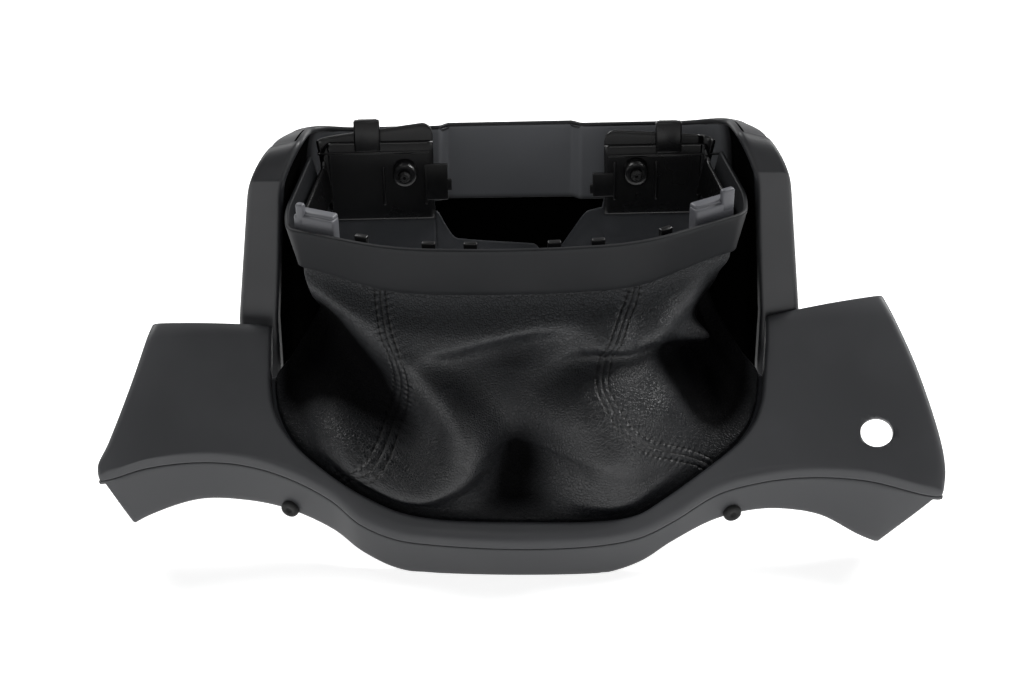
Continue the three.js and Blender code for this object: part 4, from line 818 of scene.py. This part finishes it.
# 0 at the rear and the sides, 1 in front, with a soft step between
def towardsFront(share):
    return ease((np.minimum(share, 1 - share) - ring["frontStart"]) / ring["shareFade"])


# The band's depth: it sags in front, in a soft step that ends sagReach round the ring from its middle
def bandDepth(share):
    fromMiddle = np.abs(share - 0.5) * trackLength
    return ring["height"] + ring["bandSag"] * ease((ring["sagReach"] - fromMiddle) / ring["sagFade"])


inBand = (trackShare > ring["bandNext"]) & (trackShare < 1 - ring["bandNext"])
bandShares = join(ring["bandStart"], trackShare[inBand], 1 - ring["bandStart"])
s, down = np.meshgrid(bandShares, np.linspace(0, 1, 12), indexing="ij")
z = mix(ring["rimGap"] - bandDepth(s), -ring["rimGap"], down)
bandPoints, bandFaces, _ = closedWall(inRing(ringPoint(s, 0, z)), ring["wall"], rimSteps=6, rimShare=0.6)
bandPiece = meshPiece("ring_band", bandPoints, bandFaces, [bandPlastic])
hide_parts("gaiter_ring")
print("ring band made")

# Clamp ring: a low wall all round whose top edge is a ledge at the plates, and two taller plates set back behind it.
# The word inside is a depth behind the ring's outline, and sizes are [along, deep, high]
clamp = {
    "inside": 3.9, "wall": 1.8, "setBack": 1.7, "plateWall": 1.6, "corner": 5, "plateEnd": 0.1195, "plateFoot": 8,
    "hookSize": [10.8, 3.2, 13], "catchInset": 1.4, "catchDepth": 4, "catchFrom": 3.2, "catchTo": 1,
    "stepBack": 4, "stepDepth": 2.6, "beadDrop": [4.4, 3.4], "beadLength": 48, "beadDepth": 1.4,
    "ribBeside": [-9.5, 8.0], "ribWidth": 1.2, "ribDepth": 1.6, "ribFrom": -22, "ribTo": -6,
    "tabSize": [5.2, 2.4, 7], "tabRise": 0.5, "bossRadius": 5, "bossDepth": 5, "screwHole": 1.8,
}
# Heights are above the rim, a boss is [x, height], and steps are [reach towards the middle, top, bottom]
plates = {
    "left": {"outer": 5, "inner": 11.2, "ledge": 3.8, "hookX": -61.2, "hookTop": 13.2, "boss": [-46, -8.4],
             "steps": [[5.8, -5.4, -20.4], [7.4, -11.7, -16.6]]},
    "right": {"outer": 2.6, "inner": 6.3, "ledge": 0.3, "hookX": 64.3, "hookTop": 10.1, "boss": [50.6, -9.9],
              "steps": [[5, -10.8, -20.6], [6.2, -15.4, -19.4]]},
}
tabShares = [0.3565, 0.4248, 0.4634, 0.5406, 0.5812, 0.6525]


# The height of the ledges above the rim, to each side of the ring's middle
def ledgeRise(share):
    return np.where(share < 0.5, plates["left"]["ledge"], plates["right"]["ledge"])


# The height of a plate's top edge: straight from its inner to its outer height, less a quarter circle at its inner end
def plateRise(share):
    fromEnd = np.minimum(share, 1 - share) * trackLength
    run = limit(fromEnd / abs(ringCorners[1][0] - ringCorners[0][0]))
    left, right = plates["left"], plates["right"]
    edge = np.where(share < 0.5, mix(left["inner"], left["outer"], run), mix(right["inner"], right["outer"], run))
    rounding = 1 - np.sqrt(1 - (1 - limit(fromEnd / clamp["corner"])) ** 2)
    return edge - clamp["corner"] * rounding


# A rounded block on a rear plate, leaning with it, from x to x and from its bottom to its top above the rim
def plateBlock(fromX, toX, bottom, top, inside, depth, radius=0.35):
    taper = ring["taper"]
    points, faces, indices = roundedBlock([abs(toX - fromX), depth, (top - bottom) / math.cos(taper)], radius)
    lean = np.array([[1, 0, 0], [0, math.cos(taper), math.sin(taper)], [0, -math.sin(taper), math.cos(taper)]])
    at = ringPoint(0.0, inside + depth / 2, (bottom + top) / 2)
    return inRing(points @ lean.T + [(fromX + toX) / 2, at[1], (bottom + top) / 2]), faces, indices


# A rounded block along the ring, with its outer face some way inside the rim
def ringBlock(share, inside, size, bottom, radius=0.4):
    at = ringPoint(share, inside + size[1] / 2, 0.0)
    ahead = ringPoint(share + 0.004, inside + size[1] / 2, 0.0) - at
    turn = math.atan2(ahead[1], ahead[0])
    points, faces, indices = roundedBlock(size, radius)
    spin = np.array([[math.cos(turn), -math.sin(turn), 0], [math.sin(turn), math.cos(turn), 0], [0, 0, 1]])
    return inRing(points @ spin.T + [at[0], at[1], bottom + size[2] / 2]), faces, indices


clampShares = join(np.linspace(0, 1, 161), trackShare)
s, t = np.meshgrid(clampShares, np.linspace(0, 1, 10), indexing="ij")
ledge = mix(mix(-ring["sideDrop"], ledgeRise(s), onPlate(s)), -ring["frontDrop"], towardsFront(s))
low = mix(-ring["height"], -ring["plateDrop"], onPlate(s))
rimRound = clamp["wall"] / 2
shapes = [closedWall(inRing(ringPoint(s, clamp["inside"], mix(low, ledge - rimRound, t))), clamp["wall"])]
for side, plate in plates.items():
    # The plate itself, with its rows closer together near its rounded inner end
    ends = trackShare[(trackShare > 0.02) & (trackShare < clamp["plateEnd"])]
    ends = join(np.linspace(0, 0.013, 9), ends, np.linspace(0.02, 0.1, 12), clamp["plateEnd"])
    plateShares = ends if side == "left" else np.sort(1 - ends)
    s, t = np.meshgrid(plateShares, np.linspace(0, 1, 10), indexing="ij")
    rise = mix(plate["ledge"] - clamp["plateFoot"], plateRise(s) - clamp["plateWall"] / 2, t)
    inside = clamp["inside"] - clamp["setBack"]
    shapes.append(closedWall(inRing(ringPoint(s, inside, rise)), clamp["plateWall"]))
    way = 1 if side == "left" else -1
    innerX = ringCorners[0][0] if side == "left" else ringCorners[-1][0]
    # The hook and the catch behind its top
    width, deep, high = clamp["hookSize"]
    fromX, toX, top = plate["hookX"] - width / 2, plate["hookX"] + width / 2, plate["hookTop"]
    shapes.append(plateBlock(fromX, toX, top - high, top, clamp["inside"] - 0.6, deep, 0.8))
    shapes.append(plateBlock(fromX + clamp["catchInset"], toX - clamp["catchInset"], top - clamp["catchFrom"],
                             top - clamp["catchTo"], clamp["inside"] - 3.5, clamp["catchDepth"]))
    # The steps at the plate's inner edge, each thinner and set deeper than the one before
    for i, (reach, upper, lower) in enumerate(plate["steps"]):
        root = innerX - way * (clamp["stepBack"] - i)
        shapes.append(plateBlock(root, innerX + way * reach, lower, upper, clamp["inside"] + 0.3 * i,
                                 clamp["stepDepth"] - 0.5 * i))
    # A bead runs under the ledge, and a rib stands on each side of the boss
    bottom, top = (plate["ledge"] - drop for drop in clamp["beadDrop"])
    shapes.append(plateBlock(innerX - way * 1.5, innerX - way * clamp["beadLength"], bottom, top,
                             clamp["inside"] + 1.2, clamp["beadDepth"], 0.45))
    bossX, bossRise = plate["boss"]
    for beside in clamp["ribBeside"]:
        shapes.append(plateBlock(bossX + beside, bossX + beside + clamp["ribWidth"], clamp["ribFrom"], clamp["ribTo"],
                                 clamp["inside"] + 1.2, clamp["ribDepth"], 0.4))
    # The boss with its screw hole
    share = abs(bossX - innerX) / trackLength
    foot = ringPoint(share if side == "left" else 1 - share, clamp["inside"] + 1, bossRise)
    radius, depth, hole = clamp["bossRadius"], clamp["bossDepth"], clamp["screwHole"]
    profile = [[0, 0], [radius + 0.6, 0], [radius + 0.15, 0.5], [radius, 1.2], [radius, depth - 0.5],
               [radius - 0.5, depth], [hole + 0.4, depth], [hole, depth - 0.4], [hole, 1.5], [0, 1.5]]
    points, faces, indices = turned(profile, 40)
    shapes.append((inRing(points @ np.array([[1, 0, 0], [0, 0, 1], [0, -1, 0]]) + foot), faces, indices))
for share in tabShares:
    height = clamp["tabSize"][2]
    shapes.append(ringBlock(share, clamp["inside"] + 0.9, clamp["tabSize"], clamp["tabRise"] - height, 0.5))
clampPoints, clampFaces, _ = joined(shapes)
clampPiece = meshPiece("clamp_frame", clampPoints, clampFaces, [glossPlastic])
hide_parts("clamp_ring")

# Guide blocks in the ring's front corners: a body, a lid with a soft edge, and a lug at its outer end.
# A lug is [width, rise]; bodies, lids and lugs have a depth behind the outline, a bottom above the rim and a rounding
guides = {
    "left": {"share": 0.309, "length": 17.2, "lug": [3.4, 4.6], "way": -1},
    "right": {"share": 0.705, "length": 17.8, "lug": [5.6, 5.2], "way": 1},
}
guideParts = {
    "body": {"inside": 4.4, "short": 0, "deep": 5.5, "high": 12.6, "bottom": -8, "round": 1.0},
    "lid": {"inside": 5.6, "short": 0.8, "deep": 4.9, "high": 2.6, "bottom": 3.2, "round": 1.1},
    "lug": {"inside": 4.3, "deep": 2.8, "root": 4, "bottom": 0.8, "round": 0.9},
}
for side, guide in guides.items():
    shapes = []
    for part in (guideParts["body"], guideParts["lid"]):
        size = [guide["length"] - part["short"], part["deep"], part["high"]]
        shapes.append(ringBlock(guide["share"], part["inside"], size, part["bottom"], part["round"]))
    lug = guideParts["lug"]
    width, rise = guide["lug"]
    away = (guide["length"] - width) / 2 / trackLength * guide["way"]
    size = [width, lug["deep"], rise + lug["root"]]
    shapes.append(ringBlock(guide["share"] + away, lug["inside"], size, lug["bottom"], lug["round"]))
    points, faces, _ = joined(shapes)
    piece = meshPiece(f"guide_{side}", points, faces, [guidePlastic])
    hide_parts(f"guide_block_{side}")
print("clamp ring and guide blocks made")

# Gaiter: a sleeve whose top is held in the ring and hangs free between the two rear plates (shares 1 to sleeveEnd)
sleeveEnd = 1.158
gaiter = {
    "underRim": 1, "freeRise": 0.3, "freeSag": 3, "cutBlend": 0.04, "front": 7, "frontShare": 0.25, "frontFrom": 0.2,
    "wave": 0.15, "waveX": 5.1, "waveY": 6.3, "swayX": 11.0, "swayY": 9.0, "holdTop": 0.16, "holdFoot": 0.1,
    "hemRises": (7.0, 5.0, 3.0, 1.5), "hangBy": 3.0, "lowest": 5, "range": 8, "nearRing": 0.5,
}
# The free upper edge between the plates: [share of the way from right to left, drop below the plates]
freeEdge = np.array([
    [0, 0], [0.11, 1], [0.295, 20.5], [0.345, 22], [0.4, 15], [0.64, 13.5], [0.89, 12], [0.98, 1], [1, 0],
])
# The foot follows the U of the fascia and hangs loose in the hood: [share of the ring, place among the face stations]
# or [share of the ring, point]
gaiterStations = [
    [0, [-34, 112, 66]], [0.06, [-58, 110, 62]], [0.115, [-80, 103, 58]], [0.18, [-88, 84, 56]],
    [0.24, 1.6], [0.3, 4.5], [0.36, 8.0], [0.42, 10.0], [0.46, 12.4], [0.505, 14.0], [0.55, 15.6],
    [0.6, 17.2], [0.66, 19.2], [0.71, 22.5], [0.77, 26.2],
    [0.83, [88, 84, 56]], [0.885, [80, 103, 58]], [0.94, [58, 110, 62]], [1, [37, 112, 66]],
    [1.08, [2, 113, 66]], [1.158, [-33.6, 112, 66]],
]
gaiterShares = np.array([s for s, _ in gaiterStations])
# The foot's last rows turn in under the fascia: [out from the inner edge, behind the face]
hemTurn = np.array([[-1.7, -4.8], [-1.2, -6.5], [1.9, -6.5]])


# A point behind the fascia's inner edge at a station, out along the face and n in front of it
def hemPoint(station, out, n):
    _, inner, across, _ = faceEdges(station)
    x, y = (inner[..., k] + across[..., k] * out for k in (0, 1))
    return facePoint(x, y, np.broadcast_to(n, np.shape(station)))


# The foot at a share, in one of its three rows: exactly behind the fascia's edge where both stations beside it are
# there, and otherwise on a smooth line through the stations' points, with the row's offset mixed in
def footLine(share, turnRow):
    place = np.interp(share, gaiterShares, np.arange(len(gaiterShares)))
    onFascia = np.array([not isinstance(foot, list) for _, foot in gaiterStations])
    station = np.array([0.0 if isinstance(foot, list) else foot for _, foot in gaiterStations])
    railPoints, offsets = [], []
    for k, (_, foot) in enumerate(gaiterStations):
        if onFascia[k]:
            first, there = (hemPoint(np.array(station[k]), *hemTurn[row]) for row in (0, turnRow))
            railPoints.append(first)
            offsets.append(there - first)
        else:
            railPoints.append(foot)
            offsets.append(np.array([0, 0, -gaiter["hangBy"] * turnRow]))
    railPoints, offsets = np.array(railPoints), np.array(offsets)
    i = np.clip(np.floor(place).astype(int), 0, len(gaiterStations) - 2)
    t = place - i
    held = onFascia[i] & onFascia[i + 1]
    exact = hemPoint(np.where(held, mix(station[i], station[i + 1], t), 5), *hemTurn[turnRow])
    hanging = curveThrough(railPoints, place) + mix(offsets[i], offsets[i + 1], t[..., None])
    return np.where(held[..., None], exact, hanging)


# Folds along lines on the leather: points are [share of the ring, share of the way down, millimetres out],
# and a fold falls away over its two widths, one to each side of the line (below it first, where it runs to the right)
gaiterFolds = {
    "longEdge": {"widths": [6, 16], "line": [
        [0.4, 0.34, 1], [0.44, 0.22, 4.5], [0.49, 0.145, 5.5], [0.53, 0.1, 5], [0.575, 0.085, 3], [0.61, 0.12, 0],
    ]},
    "underEdge": {"widths": [14, 9], "line": [
        [0.45, 0.36, -2], [0.485, 0.29, -6], [0.52, 0.23, -6], [0.555, 0.22, -1],
    ]},
    "leftTop": {"widths": [12, 12], "line": [[0.29, 0.1, 4], [0.34, 0.13, 6], [0.4, 0.22, 4]]},
    "leftCrest": {"widths": [11, 5], "line": [
        [0.405, 0.26, 1], [0.44, 0.345, 8], [0.468, 0.45, 12], [0.483, 0.58, 13], [0.483, 0.72, 12],
        [0.471, 0.83, 9], [0.45, 0.885, 6], [0.42, 0.9, 4],
    ]},
    "leftHollow": {"widths": [18, 16], "line": [[0.34, 0.42, -12], [0.385, 0.5, -17], [0.43, 0.62, -12]]},
    "leftLobe": {"widths": [12, 10], "line": [[0.36, 0.8, 3], [0.4, 0.8, 6], [0.44, 0.82, 6]]},
    "valley": {"widths": [6, 9], "line": [
        [0.502, 0.32, -3], [0.503, 0.5, -9], [0.504, 0.7, -15], [0.503, 0.95, -9],
    ]},
    "bigPillow": {"widths": [22, 22], "line": [[0.552, 0.52, 10], [0.558, 0.68, 11.5], [0.55, 0.8, 7]]},
    "shelfFold": {"widths": [5, 5], "line": [
        [0.515, 0.42, -1], [0.53, 0.34, -5], [0.55, 0.295, -7], [0.58, 0.29, -7], [0.61, 0.33, -6], [0.63, 0.36, -2],
    ]},
    "upperPillow": {"widths": [10, 10], "line": [[0.55, 0.22, 1], [0.58, 0.2, 6], [0.6, 0.2, 5], [0.61, 0.2, 1]]},
    "rightPillow": {"widths": [11, 9], "line": [[0.615, 0.23, 2], [0.64, 0.2, 7], [0.67, 0.17, 5]]},
    "rightHollow": {"widths": [10, 10], "line": [[0.635, 0.42, -9], [0.66, 0.55, -14], [0.67, 0.75, -12]]},
    "rightCrease": {"widths": [7, 5], "line": [
        [0.606, 0.5, 2], [0.618, 0.58, 4], [0.63, 0.66, 3], [0.64, 0.78, 1],
    ]},
}
# Places where the leather is drawn towards the middle and backwards:
# [share of the ring, share of the way down, width, inwards, backwards]
gaiterPulls = [
    [0.24, 0.5, 36, 10, 16], [0.3, 0.62, 26, 6, 20], [0.7, 0.6, 26, 8, 22], [0.76, 0.5, 36, 12, 16],
    [0.668, 0.42, 8, -11, -6],
]
leatherScale = np.array([440.0, 95.0])  # millimetres for a whole share round the ring and down the sleeve
# The two seams, as [share of the ring, share of the way down]
seams = [
    [[0.372, 0], [0.378, 0.06], [0.395, 0.18], [0.412, 0.28], [0.425, 0.4], [0.432, 0.6], [0.43, 0.79], [0.412, 1]],
    [[0.62, 0], [0.613, 0.06], [0.593, 0.16], [0.576, 0.27], [0.565, 0.36], [0.568, 0.43], [0.577, 0.55],
     [0.597, 0.7], [0.625, 0.92], [0.635, 1]],
]


# The smooth line through points, cut into straight pieces
def smoothed(points, pieces):
    return curveThrough(points, np.linspace(0, len(points) - 1, pieces * (len(points) - 1) + 1))


# For places p on the leather and the straight piece from a to b: the share t of the nearest point, which is
# (p - a) dot (b - a) over the length squared, the way from it to p, and the distance
def nearest(px, py, a, way, length):
    t = limit(((px - a[0]) * way[0] + (py - a[1]) * way[1]) / length ** 2)
    dx, dy = px - a[0] - t * way[0], py - a[1] - t * way[1]
    return t, dx, dy, np.hypot(dx, dy)


# Signed distance of places on the leather from a seam, and how far along the seam they lie, in millimetres
def fromSeam(s, d, line, side, smoothing=8):
    points = smoothed(np.array(line), smoothing) * leatherScale
    px, py = s * leatherScale[0], d * leatherScale[1]
    best = np.full(s.shape, np.inf)
    across, along = np.zeros(s.shape), np.zeros(s.shape)
    run = 0.0
    for a, b in zip(points[:-1], points[1:]):
        way = b - a
        length = np.hypot(*way)
        t, dx, dy, distance = nearest(px, py, a, way, length)
        nearer = distance < best
        across = np.where(nearer, side * distance * np.sign(way[0] * dy - way[1] * dx), across)
        along = np.where(nearer, run + t * length, along)
        best = np.minimum(best, distance)
        run += length
    return across, along


# How far a fold stands out at places on the leather: its height at the nearest point of its line, times
# exp(-(distance over width) squared)
def foldHeight(s, d, fold, smoothing=6):
    points = smoothed(np.array(fold["line"]) * [*leatherScale, 1], smoothing)
    px, py = s * leatherScale[0], d * leatherScale[1]
    best = np.full(s.shape, np.inf)
    height = np.zeros(s.shape)
    for a, b in zip(points[:-1], points[1:]):
        way = (b - a)[:2]
        length = np.hypot(*way)
        t, dx, dy, distance = nearest(px, py, a, way, length)
        side = (way[0] * dy - way[1] * dx) / length / np.maximum(distance, 1e-6)
        width = mix(fold["widths"][1], fold["widths"][0], 0.5 + 0.5 * side)
        height = np.where(distance < best, mix(a[2], b[2], t) * np.exp(-(distance / width) ** 2), height)
        best = np.minimum(best, distance)
    return height


# The upper edge of the leather some way above its lowest held line. Between the plates it goes straight from the
# ring's last point to its first, drawn forwards by one less a fourth power and lowered by the free edge's drop,
# which is averaged over five places beside each other
def sleeveTop(share, rise):
    held = limit(share)
    low = mix(-bandDepth(held), -ring["plateDrop"], onPlate(held)) - gaiter["underRim"]
    inRear = limit((share - 1) / (sleeveEnd - 1))
    height = low + rise * mix(1, gaiter["freeRise"], np.asarray(share > 1, float))
    inside = ring["wall"] + ring["clearance"]
    top, first = (inRing(ringPoint(at, inside, height)) for at in (held, np.zeros_like(held)))
    drop = sum(np.interp(inRear + aside, *freeEdge.T) for aside in (-0.02, -0.01, 0, 0.01, 0.02)) / 5
    drop = drop * limit(inRear / gaiter["cutBlend"]) * limit((1 - inRear) / gaiter["cutBlend"])
    flat = 1 - np.abs(2 * inRear - 1) ** 4
    free = mix(top, first, inRear[..., None]) - vec(0, gaiter["freeSag"] * flat, drop)
    return np.where((share > 1)[..., None], free, top)


# The leather between the ring and its foot: a straight line from one to the other, bulged in front by a half sine,
# pulled in at the sides by bells and folded, with small crossed waves; near both ends it is held to the line
def gaiterGrid(shares, downs):
    s, d = np.meshgrid(shares, downs, indexing="ij")
    top = sleeveTop(s, 0 * s)
    k = limit(d)
    point = mix(top, footLine(s, 0), k[..., None])
    front = limit((0.5 - np.abs(s - 0.5)) / gaiter["frontShare"] - gaiter["frontFrom"])
    stand = gaiter["front"] * np.sin(math.pi * k) * front
    for fold in gaiterFolds.values():
        stand = stand + foldHeight(s, d, fold)
    inwards = np.zeros(s.shape)
    for share, down, width, sideways, backwards in gaiterPulls:
        away = np.hypot((s - share) * leatherScale[0], (d - down) * leatherScale[1])
        pull = np.exp(-(away / width) ** 2)
        inwards = inwards + sideways * pull
        stand = stand - backwards * pull
    x, y = s * leatherScale[0], d * leatherScale[1]
    waves = np.sin(x / gaiter["waveX"] + 2 * np.sin(y / gaiter["swayY"]))
    waves = waves * np.sin(y / gaiter["waveY"] + 1.5 * np.sin(x / gaiter["swayX"]))
    stand = stand + gaiter["wave"] * waves
    hold = ease(limit(k / gaiter["holdTop"]) * limit((1 - k) / gaiter["holdFoot"]))
    return point + vec(-np.sign(top[..., 0]) * inwards, -stand, 0 * s) * hold[..., None], stand * hold


shares = np.linspace(0, sleeveEnd, 440)
downs = np.linspace(0, 1, 96)
free, stands = gaiterGrid(shares, downs)
hem = np.stack([sleeveTop(shares, np.full(shares.shape, rise)) for rise in gaiter["hemRises"]], 1)
foot = np.stack([footLine(shares, 1), footLine(shares, 2)], 1)
grid = np.concatenate([hem, free, foot], 1)[:, ::-1]
gaiterPoints, gaiterFaces, gaiterIndices = closedWall(grid, ring["leather"])
gaiterPiece = meshPiece("gaiter_leather", gaiterPoints, gaiterFaces, [skinLeather, backLeather], gaiterIndices)

# What the leather's material reads: how far it stands out, how near the ring it is, and where its nearer seam lies
s, d = np.meshgrid(shares, join(-0.08, -0.06, -0.04, -0.02, downs, 1.01, 1.02), indexing="ij")
across, along = fromSeam(s, d, seams[0], 1)
otherAcross, otherAlong = fromSeam(s, d, seams[1], -1)
otherNearer = np.abs(otherAcross) < np.abs(across)
stands = np.pad(stands, [(0, 0), (hem.shape[1], foot.shape[1])])
leatherValues = {
    # raised sets the painted shade deep in the folds, near_ring the painted light towards the ring
    "raised": limit((stands + gaiter["lowest"]) / gaiter["range"]),
    "near_ring": ease(1 - d / gaiter["nearRing"]),
    "seam_across": np.where(otherNearer, otherAcross, across),
    "seam_along": np.where(otherNearer, otherAlong, along),
}
for name, values in leatherValues.items():
    giveValues(gaiterPiece, name, wallValues(values[:, ::-1]))
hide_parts("gaiter")
print("gaiter made")

# Rubber bumpers: a round plug pressed over the skirt's lower edge
bumper = {"radius": 3.7, "depth": 6.2, "stations": {"left": 9.1, "right": 18.4}}
for side, station in bumper["stations"].items():
    hem = fasciaGrid(np.array([station - 0.05, station, station + 0.05]), np.array([5.5, 6.0]))
    up = unit(hem[1, 0] - hem[1, 1])
    along = unit(hem[2, 1] - hem[0, 1])
    out = unit(np.cross(along, up))
    out = out if out[1] < 0 else -out
    r, d = bumper["radius"], bumper["depth"]
    profile = [[0, -d / 2], [r - 0.9, -d / 2], [r - 0.25, -d / 2 + 0.3], [r, -d / 2 + 1], [r, d / 2 - 1],
               [r - 0.25, d / 2 - 0.3], [r - 0.9, d / 2], [1.4, d / 2], [1.0, d / 2 - 0.6], [0, d / 2 - 0.6]]
    turn = np.stack([np.cross(up, out), up, out], 1)
    middle = hem[1, 1] + up * 0.6 - out * fascia["wall"] / 2
    points, faces, indices = moved(turned(profile, 40), turn, middle)
    piece = meshPiece(f"bumper_{side}", points, faces, [bumperRubber])
    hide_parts(f"edge_bumper_{side}")
print("bumpers made")

# The screws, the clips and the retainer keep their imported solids
for name, node in nodes.items():
    node.data.materials.clear()
    if name.startswith("plate_screw"):
        material = blackSteel
    elif "screw" in name or "clip" in name:
        material = platedSteel
    else:
        material = shellPlastic
    node.data.materials.append(material)

# Floor, world and lamps
floorMaterial, floorShader = newMaterial("floor_white", "f4f4f4", 0.8)
lightPath = addNode(floorMaterial, "ShaderNodeLightPath")
floorShader.inputs["Emission Color"].default_value = [1, 1, 1, 1]
shown = ramp(floorMaterial, lightPath.outputs["Is Camera Ray"], 0, 1, 0.0, 0.72)
mirrored = ramp(floorMaterial, lightPath.outputs["Is Glossy Ray"], 0, 1, 0.0, 0.9)
plug(floorMaterial, calculate(floorMaterial, "ADD", shown, mirrored), floorShader, "Emission Strength")
floorMesh = bpy.data.meshes.new("floor")
floorMesh.from_pydata([(-8, -8, 0), (8, -8, 0), (8, 8, 0), (-8, 8, 0)], [], [[0, 1, 2, 3]])
floorMesh.materials.append(floorMaterial)
floor = bpy.data.objects.new("floor", floorMesh)
bpy.context.scene.collection.objects.link(floor)

world = bpy.data.worlds.new("studio")
bpy.context.scene.world = world
world.use_nodes = True
background = world.node_tree.nodes["Background"]
at = addNode(world, "ShaderNodeTexCoord")
height = addNode(world, "ShaderNodeSeparateXYZ", links={"Vector": at.outputs["Generated"]})
sky = ramp(world, height.outputs["Z"], 0.0, 0.7, 0.3, 0.12)
seen = addNode(world, "ShaderNodeLightPath")
shown = addNode(world, "ShaderNodeMix", links={"Factor": seen.outputs["Is Camera Ray"], "A": sky})
shown.inputs["B"].default_value = 1.0
world.node_tree.links.new(shown.outputs["Result"], background.inputs["Strength"])
background.inputs["Color"].default_value = [1, 1, 1, 1]


# A soft rectangular lamp in metres and watts, turned to face the point aim
def areaLight(name, place, aim, size, power):
    lamp = bpy.data.lights.new(name, "AREA")
    lamp.shape = "RECTANGLE"
    lamp.size, lamp.size_y = size
    lamp.energy = power
    holder = bpy.data.objects.new(name, lamp)
    bpy.context.scene.collection.objects.link(holder)
    holder.location = place
    holder.rotation_euler = (Vector(aim) - Vector(place)).to_track_quat("-Z", "Y").to_euler()


areaLight("back_left", (-1.3, 1.3, 1.9), (0, -0.3, 0), (1.2, 1.2), 34)
areaLight("back_right", (1.5, 1.0, 1.7), (0, -0.3, 0), (1.2, 1.2), 56)
areaLight("side_left", (-1.4, -0.7, 0.55), (0, 0, 0.1), (0.3, 0.7), 2.2)
areaLight("side_right", (1.4, -0.7, 0.55), (0, 0, 0.1), (0.3, 0.7), 2.2)
areaLight("front_top", (0, -1.3, 1.4), (0, 0.06, 0.1), (0.6, 0.6), 3)

camera = bpy.data.objects.new("camera", bpy.data.cameras.new("camera"))
bpy.context.scene.collection.objects.link(camera)
camera.data.sensor_width = 36
camera.data.lens = 62.8
camera.data.shift_x = -7 / 1024
camera.location = ((np.array([0, -594.4, 380.8]) + shift) * mm).tolist()
camera.rotation_euler = Euler((math.radians(65), 0, 0))
bpy.context.scene.camera = camera
bpy.context.scene.view_settings.view_transform = "Standard"

bpy.context.view_layer.update()
